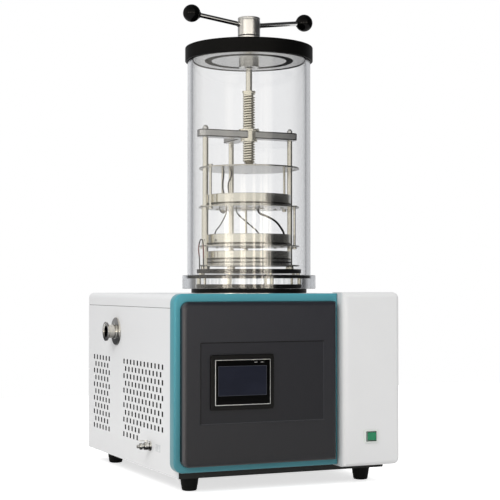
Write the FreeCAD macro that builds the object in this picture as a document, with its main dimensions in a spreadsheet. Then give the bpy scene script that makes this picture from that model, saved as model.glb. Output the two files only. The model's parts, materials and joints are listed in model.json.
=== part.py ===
"""Benchtop laboratory freeze dryer with a top-press stoppering rack.

A sheet-metal cabinet holds a cold trap, its refrigeration and the controls. A clear drum stands on
the trap's seat ring and covers a rack of three heated shelves. A T-handle on the drum's lid turns a
shaft, the shaft turns a lead screw in the crosshead's nut, and the screw carries the press plate and
the two shelves that hang below it up and down.

Row frame: millimetres, +X to the right seen from the front, +Y to the back, +Z up. The origin is on
the floor under the centre of the whole machine's box.
"""
import FreeCAD, Part

import math
import os

import Sketcher
from FreeCAD import Placement, Rotation, Vector

OUT = "parts"

# ---------------------------------------------------------------------------------------------
# Driving dimensions, in millimetres
# ---------------------------------------------------------------------------------------------
DRIVING = {
    # cabinet
    "cab_width": 430, "cab_depth": 552, "cab_height": 339, "sheet_thick": 1.5, "foot_height": 26,
    "foot_top_dia": 35, "foot_end_dia": 28, "foot_inset_x": 34, "foot_inset_front": 30,
    "foot_inset_back": 88, "tray_height": 20, "skirt_height": 26, "seam_gap": 0.8, "rear_reach": 9,
    # front fascia
    "fascia_overhang": 16, "fascia_rise": 1, "frame_lift": 13, "frame_depth": 22, "frame_corner": 18,
    "frame_margin": 12, "panel_depth": 36, "panel_corner": 15, "panel_edge": 8, "panel_wall": 3,
    "column_left": 104, "column_lift": 10, "column_rise": 3, "column_overhang": 13,
    "fascia_depth": 46, "column_edge": 13, "column_corner": 12,
    "overlay_left": 186, "overlay_right": 67, "overlay_low": 101, "overlay_high": 251,
    "overlay_thick": 0.8, "fit_gap": 0.3,
    # touch screen and switch
    "screen_x": -103, "screen_z": 177.2, "screen_width": 127, "screen_tall": 101.5,
    "screen_proud": 4, "glass_width": 111, "glass_tall": 83.5, "glass_proud": 1.2,
    "screen_body_depth": 30, "switch_x": 162.3, "switch_z": 66.5, "switch_width": 30,
    "switch_tall": 25, "switch_proud": 2.2, "rocker_width": 17.4, "rocker_tall": 15.2,
    "rocker_rise": 2.6, "rocker_pivot": 3, "rocker_swing": 2.3,
    # ventilation slots of the side panels
    "slot_long": 8, "slot_tall": 10, "slot_pitch_y": 20.6, "slot_pitch_z": 14.8, "slot_low": 52.5,
    "slot_front_y": 83, "slot_back_y": 407,
    # ports on the left side
    "port_y": 359.5, "port_drop": 79, "port_reach": 24, "port_bore": 25, "port_flange_dia": 40,
    "port_wall_dia": 58, "port_pipe_dia": 28, "pipe_bore": 24,
    "drain_y": 150, "drain_z": 45, "drain_reach": 27, "drain_body_dia": 15, "drain_barb_dia": 9,
    # cold trap
    "drum_setback": 164, "trap_bore": 184, "trap_depth": 150, "trap_wall": 1.2, "trap_rim_dia": 224,
    "seat_dia": 232, "seat_bore": 196, "seat_height": 8.4, "lip_dia": 212, "lip_height": 8.9,
    "foam_dia": 270, "foam_bore": 208, "foam_floor": 18, "foam_gate": 36,
    "coil_tube": 9.5, "coil_pitch": 13, "coil_turns": 3,
    # drum and lid
    "drum_dia": 248, "drum_wall": 10, "drum_height": 446, "flange_reach": 10, "flange_height": 27,
    "flange_bore": 215, "lid_thick": 9, "lid_spigot": 14, "rim_reach": 5, "rim_skirt": 14.5,
    "rim_lip": 4.9, "lid_groove_dia": 165, "lid_groove_width": 13.5, "lid_groove_deep": 2,
    "gland_dia": 45.4, "gland_height": 27.6,
    "gland_neck_dia": 28, "gland_nut_dia": 41, "gland_nut_height": 16,
    # T-handle and screw
    "hub_height": 37.6, "hub_gap": 1, "arm_dia": 9.6, "arm_reach": 124.5, "arm_rise": 16.4,
    "arm_root": 20.7, "knob_dia": 35, "cover_bend": 11, "shaft_dia": 13, "shaft_drop": 119, "run_gap": 0.08,
    "key_width": 3, "key_depth": 2, "screw_dia": 25, "screw_length": 142, "screw_collar_reach": 1,
    "screw_collar": 5, "screw_foot_dia": 14, "screw_foot": 7,
    # rack
    "rack_dia": 210, "rack_thick": 8, "post_height": 22, "post_dia": 6.4, "column_circle": 186,
    "column_dia": 11, "column_length": 263.3, "collar_dia": 17, "collar_height": 6, "stud_dia": 6,
    "cross_thick": 15, "cross_width": 30, "cross_end": 14, "nut_flange_reach": 4, "nut_flange": 4,
    "nut_wall": 4.5, "nut_drop": 6, "cap_nut_height": 9, "cap_nut_width": 10,
    "shelf_dia": 203, "shelf_thick": 2.4, "pad_dia": 168, "pad_thick": 4, "pad_upper": 5.6,
    "pad_lower": 12.4,
    "tray_dia": 169, "tray_wall": 1.2, "tray_rim": 18.4, "tray_lower_rim": 15.3,
    "shelf_pitch": 78, "lower_gap": 8.6, "press_dia": 202, "press_thick": 3, "bearing_dia": 32,
    "bearing_height": 9, "hanger_dia": 5, "hanger_nut_dia": 9, "hanger_nut": 4, "upper_lead": 13,
    "middle_trail": 20,
    # refrigeration and electrics
    "comp_x": -98, "comp_y": 432, "comp_dia": 144, "comp_height": 172, "comp_lift": 10,
    "cond_x": 98, "cond_y": 462, "cond_width": 190, "cond_depth": 40, "cond_tall": 190,
    "cond_low": 40, "fin_thick": 1, "fin_pitch": 8, "cond_tube": 9, "fan_dia": 150,
    "fan_frame": 172, "fan_depth": 32, "fan_gap": 6, "fan_hub": 52, "line_dia": 8,
    "inlet_x": -150, "inlet_z": 70, "outlet_x": -95,
}

# Places worked out from the driving dimensions. Each line uses only the ones above it.
DERIVED = {
    "cab_x": "(max(dim.port_reach; dim.drain_reach) - dim.column_overhang) / 2",
    "front_reach": "dim.fascia_depth + dim.switch_proud + dim.rocker_rise",
    "front_y": "(lv.front_reach - dim.cab_depth - dim.rear_reach) / 2",
    "back_y": "lv.front_y + dim.cab_depth",
    "floor_z": "dim.foot_height",
    "top_z": "lv.floor_z + dim.cab_height",
    "port_z": "lv.top_z - dim.port_drop",
    "left_x": "lv.cab_x - dim.cab_width / 2",
    "right_x": "lv.cab_x + dim.cab_width / 2",
    "drum_y": "lv.front_y + dim.drum_setback",
    "seat_z": "lv.top_z + dim.trap_wall",
    "seat_top": "lv.seat_z + dim.seat_height",
    "flange_top": "lv.seat_top + dim.flange_height",
    "tube_top": "lv.flange_top + dim.drum_height",
    "lid_top": "lv.tube_top + dim.lid_thick",
    "lid_under": "lv.tube_top - dim.lid_spigot",
    "gland_top": "lv.lid_top + dim.gland_height",
    "gland_low": "lv.lid_under - dim.gland_nut_height",
    "hub_z": "lv.gland_top + dim.hub_gap",
    "arm_z": "lv.hub_z + dim.arm_root",
    "lip_top": "lv.seat_top + dim.lip_height",
    "rack_z": "lv.lip_top + dim.post_height",
    "rack_top": "lv.rack_z + dim.rack_thick",
    "lower_z": "lv.rack_top + dim.collar_height",
    "lower_tray_z": "lv.lower_z + dim.shelf_thick + dim.pad_lower",
    "middle_z": "lv.lower_tray_z + dim.tray_lower_rim + dim.lower_gap",
    "upper_z": "lv.middle_z + dim.shelf_pitch",
    "press_z": "lv.upper_z + dim.shelf_pitch",
    "bearing_z": "lv.press_z + dim.press_thick",
    "screw_z": "lv.bearing_z + dim.bearing_height",
    "cross_z": "lv.rack_top + dim.column_length",
    "cross_top": "lv.cross_z + dim.cross_thick",
    "flange_r": "dim.drum_dia / 2 + dim.flange_reach",
    "rim_r": "dim.drum_dia / 2 + dim.rim_reach",
    "collar_r": "dim.screw_dia / 2 + dim.screw_collar_reach",
    "nut_r": "dim.screw_dia / 2 + dim.nut_wall",
    "column_r": "dim.column_circle / 2",
    "slide_hole": "dim.column_dia / 2 + 0.5",
    "trap_floor": "lv.top_z - dim.trap_depth",
    "trap_r": "dim.trap_bore / 2",
    "coil_r": "lv.trap_r + dim.trap_wall + dim.coil_tube / 2 + 0.2",
    "coil_z": "lv.trap_floor + dim.coil_tube / 2 + 3",
    "frame_low": "lv.floor_z + dim.frame_lift",
    "fascia_top": "lv.top_z + dim.fascia_rise",
    "fascia_left": "lv.left_x - dim.fascia_overhang",
    "fascia_right": "lv.right_x + dim.column_overhang",
    "column_top": "lv.top_z + dim.column_rise",
    "panel_left": "lv.fascia_left + dim.frame_margin",
    "panel_right": "lv.cab_x + dim.column_left - 9",
    "panel_low": "lv.frame_low + 11",
    "panel_high": "lv.fascia_top - dim.frame_margin - 3",
    "panel_face": "lv.front_y - dim.panel_depth",
    "overlay_face": "lv.panel_face - dim.overlay_thick",
    "column_x": "lv.cab_x + dim.column_left",
    "column_face": "lv.front_y - dim.fascia_depth",
    "sheet_in": "dim.sheet_thick",
    "fan_y": "lv.back_y - dim.sheet_thick - 1 - dim.fan_depth",
}

doc = FreeCAD.newDocument("freeze_dryer")


def fill_sheet(name, rows, as_formula):
    """Makes one spreadsheet with a row for each named value."""
    made = doc.addObject("Spreadsheet::Sheet", name)
    for row, (alias, value) in enumerate(rows.items(), 1):
        made.set(f"A{row}", alias)
        made.set(f"B{row}", f"={value}" if as_formula else str(value))
        made.setAlias(f"B{row}", alias)
        if as_formula:
            doc.recompute()
    doc.recompute()
    return made


dim = fill_sheet("dim", DRIVING, False)
lv = fill_sheet("lv", DERIVED, True)
parts = {}


def value(expression):
    """The number that an expression on the sheets stands for."""
    found = dim.evalExpression(expression)
    return float(getattr(found, "Value", found))


def point(x, y, z):
    return Vector(value(x), value(y), value(z))


def bind(feature, **properties):
    """Binds properties to expressions. A double underscore stands for a dot."""
    for name, expression in properties.items():
        feature.setExpression(name.replace("__", "."), expression)


def place(feature, x="0", y="0", z="0"):
    """Binds a feature's position to expressions."""
    bind(feature, Placement__Base__x=x, Placement__Base__y=y, Placement__Base__z=z)


def keep(label, feature):
    """Names a finished sub-part."""
    feature.Label = label
    parts[label] = feature
    return feature


# ---------------------------------------------------------------------------------------------
# Part primitives and booleans
# ---------------------------------------------------------------------------------------------
def box(x0, y0, z0, x1, y1, z1):
    """A Part::Box between two corners given as expressions."""
    made = doc.addObject("Part::Box", "block")
    bind(made, Length=f"{x1} - ({x0})", Width=f"{y1} - ({y0})", Height=f"{z1} - ({z0})")
    place(made, x0, y0, z0)
    return made


def rod(x, y, z, radius, height, direction=(0, 0, 1)):
    """A Part::Cylinder from a point along a direction."""
    made = doc.addObject("Part::Cylinder", "rod")
    bind(made, Radius=radius, Height=height)
    made.Placement = Placement(Vector(), Rotation(Vector(0, 0, 1), Vector(*direction)))
    place(made, x, y, z)
    return made


def cut(base, *tools):
    made = doc.addObject("Part::Cut", "cut")
    made.Base = base
    made.Tool = tools[0] if len(tools) == 1 else fuse(*tools)
    return made


def fuse(*shapes):
    made = doc.addObject("Part::MultiFuse", "fuse")
    made.Shapes = list(shapes)
    made.Refine = True
    return made


def rounded(base, axis, radius, test=lambda centre: True):
    """A Part::Fillet on the straight edges along an axis whose middle passes a test."""
    made = doc.addObject("Part::Fillet", "rounded")
    doc.recompute()
    made.Base = base
    made.Edges = [(int(name[4:]), radius, radius) for name, edge in straight_edges(base.Shape, axis)
                  if test(edge.CenterOfMass)]
    return made


def solid(label, shape):
    """A Part::Feature whose shape is worked out with Part's own functions."""
    made = doc.addObject("Part::Feature", label)
    made.Shape = shape
    return keep(label, made)


# ---------------------------------------------------------------------------------------------
# PartDesign bodies with bound sketches
# ---------------------------------------------------------------------------------------------
def new_body(label, x="0", y="0", z="0"):
    body = doc.addObject("PartDesign::Body", label)
    place(body, x, y, z)
    return keep(label, body)


def plane_of(body, role):
    return next(f for f in body.Origin.OriginFeatures if f.Role == role)


def outline(body, role, points):
    """A closed sketch of straight lines on an origin plane; points are pairs of expressions."""
    sketch = body.newObject("Sketcher::SketchObject", body.Name + "_sketch")
    sketch.AttachmentSupport = (plane_of(body, role), [""])
    sketch.MapMode = "FlatFace"
    at = [Vector(value(u), value(v), 0) for u, v in points]
    count = len(points)
    for i in range(count):
        sketch.addGeometry(Part.LineSegment(at[i], at[(i + 1) % count]), False)
    for i in range(count):
        sketch.addConstraint(Sketcher.Constraint("Coincident", i, 2, (i + 1) % count, 1))
    for i, (u, v) in enumerate(points):
        for way, size, number in (("DistanceX", u, at[i].x), ("DistanceY", v, at[i].y)):
            index = sketch.addConstraint(Sketcher.Constraint(way, -1, 1, i, 1, number))
            sketch.setExpression(f"Constraints[{index}]", size)
    return sketch


def circles(body, role, rounds):
    """A sketch of full circles; each is (u, v, radius) in expressions."""
    sketch = body.newObject("Sketcher::SketchObject", body.Name + "_circles")
    sketch.AttachmentSupport = (plane_of(body, role), [""])
    sketch.MapMode = "FlatFace"
    for i, (u, v, radius) in enumerate(rounds):
        centre = Vector(value(u), value(v), 0)
        sketch.addGeometry(Part.Circle(centre, Vector(0, 0, 1), value(radius)), False)
        sizes = [("DistanceX", u, centre.x), ("DistanceY", v, centre.y)]
        for way, size, number in sizes:
            index = sketch.addConstraint(Sketcher.Constraint(way, -1, 1, i, 3, number))
            sketch.setExpression(f"Constraints[{index}]", size)
        index = sketch.addConstraint(Sketcher.Constraint("Radius", i, value(radius)))
        sketch.setExpression(f"Constraints[{index}]", radius)
    return sketch


def pad(body, sketch, length, reverse=False):
    made = body.newObject("PartDesign::Pad", body.Name + "_pad")
    made.Profile = sketch
    made.Reversed = reverse
    bind(made, Length=length)
    doc.recompute()
    return made


def pocket(body, sketch, length, reverse=False):
    before = body.Shape.Volume
    made = body.newObject("PartDesign::Pocket", body.Name + "_pocket")
    made.Profile = sketch
    made.Reversed = reverse
    bind(made, Length=length)
    doc.recompute()
    if not body.Shape.Volume < before - 0.01:
        raise RuntimeError(f"{body.Name}: a pocket cuts nothing")
    return made


def turned(label, points, x="lv.cab_x", y="lv.drum_y", z="0"):
    """A body turned about its own vertical axis from (radius, height) points."""
    body = new_body(label, x, y, z)
    sketch = outline(body, "XZ_Plane", points)
    made = body.newObject("PartDesign::Revolution", label + "_turned")
    made.Profile = sketch
    made.ReferenceAxis = (sketch, ["V_Axis"])
    made.Angle = 360.0
    doc.recompute()
    return body


def straight_edges(shape, axis):
    """Names of the straight edges along an axis."""
    names = []
    for number, edge in enumerate(shape.Edges, 1):
        if edge.Curve.TypeId != "Part::GeomLine":
            continue
        if abs(edge.tangentAt(edge.FirstParameter).dot(axis)) > 0.999:
            names.append((f"Edge{number}", edge))
    return names


def edges_where(body, axis, test):
    """Straight edges along an axis, in the body's own frame, whose middle passes a test."""
    local = body.Tip.Shape
    return [name for name, edge in straight_edges(local, axis) if test(edge.CenterOfMass)]


def soften(body, names, radius, kind="PartDesign::Fillet"):
    base = body.Tip
    made = body.newObject(kind, body.Name + "_edge")
    made.Base = (base, names)
    bind(made, **{"Radius" if kind.endswith("Fillet") else "Size": radius})
    doc.recompute()
    return made


def hollow(body, face, wall, join):
    """Turns the body's solid into a shell, open at one face, with its wall kept inside."""
    base = body.Tip
    made = body.newObject("PartDesign::Thickness", body.Name + "_shell")
    made.Base = (base, [face])
    bind(made, Value=wall)
    made.Reversed = True
    made.Mode = 0
    made.Join = join
    doc.recompute()
    return made


def polar(body, feature, count):
    """Repeats a feature of the body about its vertical axis."""
    made = body.newObject("PartDesign::PolarPattern", body.Name + "_polar")
    made.Originals = [feature]
    made.Axis = (plane_of(body, "Z_Axis"), [""])
    made.Angle = 360.0
    made.Occurrences = count
    body.Tip = made
    doc.recompute()
    return made


X, Y, Z = Vector(1, 0, 0), Vector(0, 1, 0), Vector(0, 0, 1)


# ---------------------------------------------------------------------------------------------
# Cabinet sheet metal
# ---------------------------------------------------------------------------------------------
def make_base_tray():
    """Black folded tray that carries everything: floor and four upturned rims."""
    body = new_body("base_tray", "lv.left_x + lv.sheet_in", "lv.front_y", "lv.floor_z")
    wide = "(dim.cab_width - 2 * dim.sheet_thick)"
    sketch = outline(body, "XY_Plane", [
        ("0", "0"), (wide, "0"), (wide, "dim.cab_depth"), ("0", "dim.cab_depth")])
    pad(body, sketch, "dim.tray_height")
    top = next(f"Face{n}" for n, face in enumerate(body.Tip.Shape.Faces, 1)
               if face.CenterOfMass.z > value("dim.tray_height") - 0.01)
    hollow(body, top, "dim.sheet_thick + 0.5", 1)


def slot_places():
    """Centres (y from the front, z from the cabinet's floor) of one side panel's slots."""
    pitch_y, pitch_z = value("dim.slot_pitch_y"), value("dim.slot_pitch_z")
    low = value("dim.slot_low")
    places = []
    for row in range(11):
        shift = pitch_y / 2 if row % 2 else 0
        z = low + row * pitch_z
        back = value("dim.slot_back_y")
        places += [(back + shift + k * pitch_y, z) for k in range(5 if row % 2 else 6)]
        front = value("dim.slot_front_y")
        last = 11 if row % 2 else 12
        columns = range(last - 5 if row < 2 else 0, last)
        places += [(front + shift + k * pitch_y, z) for k in columns]
    return places


def slot_cutters(x):
    """One block for each ventilation slot, through the sheet at x."""
    length, tall = value("dim.slot_long"), value("dim.slot_tall")
    sheet = value("dim.sheet_thick")
    blocks = []
    for y, z in slot_places():
        corner = Vector(x - sheet, value("lv.front_y") + y - length / 2,
                        value("lv.floor_z") + z - tall / 2)
        blocks.append(Part.makeBox(3 * sheet, length, tall, corner))
    made = doc.addObject("Part::Feature", "slot_cutters")
    made.Shape = Part.makeCompound(blocks)
    return made


def make_side_panels():
    """Left and right side sheets with their staggered ventilation slots."""
    high = "lv.top_z - dim.skirt_height - dim.seam_gap"
    left = box("lv.left_x", "lv.front_y", "lv.floor_z", "lv.left_x + lv.sheet_in", "lv.back_y", high)
    port_hole = rod("lv.left_x - 1", "lv.front_y + dim.port_y", "lv.port_z",
                    "dim.port_pipe_dia / 2 + 0.5", "dim.sheet_thick + 2", (1, 0, 0))
    drain_hole = rod("lv.left_x - 1", "lv.front_y + dim.drain_y", "lv.floor_z + dim.drain_z",
                     "dim.drain_barb_dia / 2 + 0.5", "dim.sheet_thick + 2", (1, 0, 0))
    slotted = cut(left, slot_cutters(value("lv.left_x")))
    keep("side_panel_left", cut(slotted, port_hole, drain_hole))
    right = box("lv.right_x - lv.sheet_in", "lv.front_y", "lv.floor_z", "lv.right_x", "lv.back_y", high)
    keep("side_panel_right", cut(right, slot_cutters(value("lv.right_x - lv.sheet_in"))))


def make_top_cover():
    """Top sheet with a skirt down each side and the trap's hole."""
    body = new_body("top_cover", "lv.cab_x", "lv.drum_y", "lv.top_z")
    half, sheet, skirt = "dim.cab_width / 2", "dim.sheet_thick", "dim.skirt_height"
    profile = [(f"-{half}", "0"), (f"-{half}", f"-{skirt}"), (f"-{half} + {sheet}", f"-{skirt}"),
               (f"-{half} + {sheet}", f"-{sheet}"), (f"{half} - {sheet}", f"-{sheet}"),
               (f"{half} - {sheet}", f"-{skirt}"), (half, f"-{skirt}"), (half, "0")]
    sketch = outline(body, "XZ_Plane", profile)
    made = pad(body, sketch, "dim.cab_depth")
    made.SideType = "Two sides"
    bind(made, Length="lv.drum_y - lv.front_y", Length2="lv.back_y - lv.drum_y")
    doc.recompute()
    hole = circles(body, "XY_Plane", [("0", "0", "lv.trap_r + dim.trap_wall + 0.5")])
    pocket(body, hole, "2 * dim.sheet_thick")
    half, thick = value("dim.cab_width / 2"), value("dim.sheet_thick")
    outside = edges_where(body, Y, lambda c: abs(c.x) > half - 0.01 and c.z > -0.01)
    soften(body, outside, "dim.cover_bend")
    inside = edges_where(body, Y, lambda c: abs(abs(c.x) - half + thick) < 0.01 and abs(c.z + thick) < 0.01)
    soften(body, inside, "dim.cover_bend - dim.sheet_thick")


def grille(z_centre, x_centre, radius, thick_y):
    """Rows of long slots inside a circle, through a sheet that faces Y."""
    pitch, slot = 9.0, 5.0
    rows = int(radius // pitch)
    blocks = []
    for row in range(-rows, rows + 1):
        half = math.sqrt(max(radius ** 2 - (row * pitch) ** 2, 0.0)) - 3
        if half < 8:
            continue
        for low, high in ((-half, -3.0), (3.0, half)):
            corner = Vector(x_centre + low, thick_y, z_centre + row * pitch - slot / 2)
            blocks.append(Part.makeBox(high - low, 3 * value("dim.sheet_thick"), slot, corner))
    return Part.makeCompound(blocks)


def make_rear_panel():
    """Rear sheet with the fan grille and the two socket openings."""
    x0, x1 = "lv.left_x + lv.sheet_in", "lv.right_x - lv.sheet_in"
    sheet = box(x0, "lv.back_y - lv.sheet_in", "lv.floor_z + dim.tray_height", x1, "lv.back_y",
                "lv.top_z - lv.sheet_in")
    sheet = rounded(sheet, Y, value("dim.cover_bend"), lambda c: c.z > value("lv.top_z") - 5)
    slots = doc.addObject("Part::Feature", "grille_slots")
    slots.Shape = grille(value("lv.floor_z + dim.cond_low + dim.cond_tall / 2"),
                         value("lv.cab_x + dim.cond_x"), value("dim.fan_dia / 2"),
                         value("lv.back_y - 2 * lv.sheet_in"))
    holes = [box(f"lv.cab_x + {x} - 14", "lv.back_y - 3 * lv.sheet_in", "lv.floor_z + dim.inlet_z - 10.5",
                 f"lv.cab_x + {x} + 14", "lv.back_y + 1", "lv.floor_z + dim.inlet_z + 10.5")
             for x in ("dim.inlet_x", "dim.outlet_x")]
    keep("rear_panel", cut(sheet, slots, *holes))


def make_front_bulkhead():
    """Sheet behind the fascia that carries it, the screen and the switch."""
    x0, x1 = "lv.left_x + lv.sheet_in", "lv.right_x - lv.sheet_in"
    sheet = box(x0, "lv.front_y", "lv.floor_z + dim.tray_height", x1, "lv.front_y + lv.sheet_in",
                "lv.top_z - lv.sheet_in")
    sheet = rounded(sheet, Y, value("dim.cover_bend"), lambda c: c.z > value("lv.top_z") - 5)
    window = box("lv.cab_x + dim.screen_x - dim.screen_width / 2 - 4", "lv.front_y - 1",
                 "lv.floor_z + dim.screen_z - dim.screen_tall / 2 - 4",
                 "lv.cab_x + dim.screen_x + dim.screen_width / 2 + 4", "lv.front_y + 5",
                 "lv.floor_z + dim.screen_z + dim.screen_tall / 2 + 4")
    switch = box("lv.cab_x + dim.switch_x - 18", "lv.front_y - 1", "lv.floor_z + dim.switch_z - 16",
                 "lv.cab_x + dim.switch_x + 18", "lv.front_y + 5", "lv.floor_z + dim.switch_z + 16")
    keep("front_bulkhead", cut(sheet, window, switch))


def make_feet():
    """Four tapered rubber feet."""
    feet = []
    for side in (-1, 1):
        for y in ("lv.front_y + dim.foot_inset_front", "lv.back_y - dim.foot_inset_back"):
            cone = doc.addObject("Part::Cone", "foot")
            bind(cone, Radius1="dim.foot_end_dia / 2", Radius2="dim.foot_top_dia / 2",
                 Height="dim.foot_height")
            place(cone, f"lv.cab_x + {side} * (dim.cab_width / 2 - dim.foot_inset_x)", y, "0")
            rounded = doc.addObject("Part::Fillet", "foot_rounded")
            doc.recompute()
            rounded.Base = cone
            low = next(n for n, e in enumerate(cone.Shape.Edges, 1)
                       if e.Closed and e.CenterOfMass.z < 0.01)
            rounded.Edges = [(low, 3.0, 3.0)]
            feet.append(rounded)
    keep("rubber_feet", group(*feet))


def group(*members):
    """Several separate solids kept as one node."""
    made = doc.addObject("Part::Compound", "group")
    made.Links = list(members)
    return made


# ---------------------------------------------------------------------------------------------
# Front fascia, screen and switch
# ---------------------------------------------------------------------------------------------
def moulding(label, x0, x1, z0, z1, depth, corner, edge, wall, side):
    """A moulded cover, open at the back, in a frame at (x0, front_y, z0).

    Only the corners on its outer side are round; those at the seam are square.
    """
    body = doc.addObject("PartDesign::Body", label)
    place(body, x0, "lv.front_y", z0)
    wide, tall = f"({x1} - ({x0}))", f"({z1} - ({z0}))"
    sketch = outline(body, "XZ_Plane", [("0", "0"), (wide, "0"), (wide, tall), ("0", tall)])
    pad(body, sketch, depth)
    at_left = side == "left"
    soften(body, edges_where(body, Y, lambda c: (c.x < 1) == at_left), corner)
    front = [f"Edge{n}" for n, e in enumerate(body.Tip.Shape.Edges, 1)
             if e.BoundBox.YMax < -value(depth) + 0.01]
    soften(body, front, edge)
    back = next(f"Face{n}" for n, f in enumerate(body.Tip.Shape.Faces, 1) if f.BoundBox.YMin > -0.01)
    hollow(body, back, wall, 0)
    return body


def make_fascia():
    """Teal frame, dark panel raised through it and the white column beside them."""
    frame = moulding("fascia_frame", "lv.fascia_left", "lv.column_x - dim.fit_gap", "lv.frame_low",
                     "lv.fascia_top", "dim.frame_depth", "dim.frame_corner", "4", "dim.panel_wall",
                     "left")
    gap = "dim.fit_gap"
    opening = box(f"lv.panel_left - {gap}", "lv.front_y - dim.frame_depth - 1", f"lv.panel_low - {gap}",
                  f"lv.panel_right + {gap}", "lv.front_y + 1", f"lv.panel_high + {gap}")
    middle = value("lv.panel_left + lv.panel_right") / 2
    keep("fascia_frame", cut(frame, rounded(opening, Y, value(f"dim.panel_corner + {gap}"),
                                            lambda c: c.x < middle)))

    panel = moulding("fascia_panel", "lv.panel_left", "lv.panel_right", "lv.panel_low", "lv.panel_high",
                     "dim.panel_depth", "dim.panel_corner", "dim.panel_edge", "dim.panel_wall", "left")
    half_w, half_t = "(dim.screen_width / 2 - 5)", "(dim.screen_tall / 2 - 5)"
    mid_x = "(lv.cab_x + dim.screen_x - lv.panel_left)"
    mid_z = "(lv.floor_z + dim.screen_z - lv.panel_low)"
    window = outline(panel, "XZ_Plane", [
        (f"{mid_x} - {half_w}", f"{mid_z} - {half_t}"), (f"{mid_x} + {half_w}", f"{mid_z} - {half_t}"),
        (f"{mid_x} + {half_w}", f"{mid_z} + {half_t}"), (f"{mid_x} - {half_w}", f"{mid_z} + {half_t}")])
    pocket(panel, window, "dim.panel_depth + 5", True)
    keep("fascia_panel", panel)

    column = moulding("fascia_column", "lv.column_x", "lv.fascia_right", "lv.floor_z + dim.column_lift",
                      "lv.column_top", "dim.fascia_depth", "dim.column_corner", "dim.column_edge - 2",
                      "dim.panel_wall", "right")
    mid_x = "(lv.cab_x + dim.switch_x - lv.column_x)"
    mid_z = "(dim.switch_z - dim.column_lift)"
    half_w, half_t = "(dim.switch_width / 2 - 1.5)", "(dim.switch_tall / 2 - 1.5)"
    window = outline(column, "XZ_Plane", [
        (f"{mid_x} - {half_w}", f"{mid_z} - {half_t}"), (f"{mid_x} + {half_w}", f"{mid_z} - {half_t}"),
        (f"{mid_x} + {half_w}", f"{mid_z} + {half_t}"), (f"{mid_x} - {half_w}", f"{mid_z} + {half_t}")])
    pocket(column, window, "dim.fascia_depth + 5", True)
    keep("fascia_column", column)


def framed_box(x, z, wide, tall, y0, y1):
    """A block centred on (x, z) of the fascia, from y0 to y1, with sizes in expressions."""
    return box(f"lv.cab_x + {x} - {wide} / 2", y0, f"lv.floor_z + {z} - {tall} / 2",
               f"lv.cab_x + {x} + {wide} / 2", y1, f"lv.floor_z + {z} + {tall} / 2")


def make_screen():
    """Overlay sheet, screen bezel and screen module."""
    x, z = "dim.screen_x", "dim.screen_z"
    sheet = box("lv.cab_x - dim.overlay_left", "lv.overlay_face", "lv.floor_z + dim.overlay_low",
                "lv.cab_x + dim.overlay_right", "lv.panel_face", "lv.floor_z + dim.overlay_high")
    window = framed_box(x, z, "(dim.screen_width - 10)", "(dim.screen_tall - 10)",
                        "lv.overlay_face - 1", "lv.panel_face + 1")
    keep("control_overlay", cut(sheet, window))
    proud = "lv.overlay_face - dim.screen_proud"
    plate = framed_box(x, z, "dim.screen_width", "dim.screen_tall", proud, "lv.overlay_face")
    gap = "2 * dim.fit_gap"
    inner = framed_box(x, z, f"(dim.glass_width + {gap})", f"(dim.glass_tall + {gap})",
                       f"{proud} - 1", "lv.overlay_face + 1")
    ring = cut(plate, inner)
    rounded = doc.addObject("Part::Chamfer", "screen_bezel_edge")
    doc.recompute()
    rounded.Base = ring
    face = value(proud)
    outer = value("dim.screen_width / 2") - 0.01
    middle = value("lv.cab_x + dim.screen_x")
    centre_z = value("lv.floor_z + dim.screen_z")
    tall = value("dim.screen_tall / 2") - 0.01
    rim = [n for n, e in enumerate(ring.Shape.Edges, 1)
           if abs(e.CenterOfMass.y - face) < 0.01
           and (abs(e.CenterOfMass.x - middle) > outer or abs(e.CenterOfMass.z - centre_z) > tall)]
    rounded.Edges = [(n, 1.5, 1.5) for n in rim]
    keep("screen_bezel", rounded)
    glass = framed_box(x, z, "dim.glass_width", "dim.glass_tall", f"{proud} - dim.glass_proud",
                       "lv.overlay_face - 1")
    case = framed_box(x, z, "(dim.glass_width - 4)", "(dim.glass_tall - 4)", "lv.overlay_face - 1",
                      "lv.overlay_face + dim.screen_body_depth")
    keep("screen_module", fuse(glass, case))


def make_switch():
    """Rocker switch: a framed housing and the rocker that tilts in it."""
    x, z = "dim.switch_x", "dim.switch_z"
    flange = framed_box(x, z, "dim.switch_width", "dim.switch_tall", "lv.column_face - dim.switch_proud",
                        "lv.column_face")
    barrel = framed_box(x, z, "(dim.switch_width - 4)", "(dim.switch_tall - 4)", "lv.column_face",
                        "lv.column_face + 24")
    flange_face = "lv.column_face - dim.switch_proud"
    well = framed_box(x, z, "(dim.rocker_width + 2 * dim.rocker_swing)", "(dim.rocker_tall + 4)",
                      f"{flange_face} - 1", "lv.column_face + 11")
    pivot_y = f"{flange_face} + dim.rocker_pivot"
    pin = rod(f"lv.cab_x + {x}", pivot_y, f"lv.floor_z + {z} - dim.switch_tall / 2 + 2.5",
              "1.2", "dim.switch_tall - 5")
    keep("switch_housing", fuse(cut(fuse(flange, barrel), well), pin))
    # The rocker's face is a shallow V, so that either end stands out when the other is pressed in.
    body = new_body("switch_rocker", "lv.cab_x + dim.switch_x", pivot_y,
                    "lv.floor_z + dim.switch_z - dim.rocker_tall / 2")
    half, face = "dim.rocker_width / 2", "dim.rocker_pivot"
    sketch = outline(body, "XY_Plane", [
        (f"-{half} + 1.2", f"-{face} + 1"), ("0", f"-{face} + 0.4"),
        (f"{half}", f"-{face} - dim.rocker_rise"), (f"{half}", "1"), ("3", "5"), ("-3", "5"),
        (f"-{half} + 1.2", "1")])
    pad(body, sketch, "dim.rocker_tall")
    bore = circles(body, "XY_Plane", [("0", "0", "1.2 + dim.run_gap")])
    pocket(body, bore, "dim.rocker_tall", True)


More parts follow.
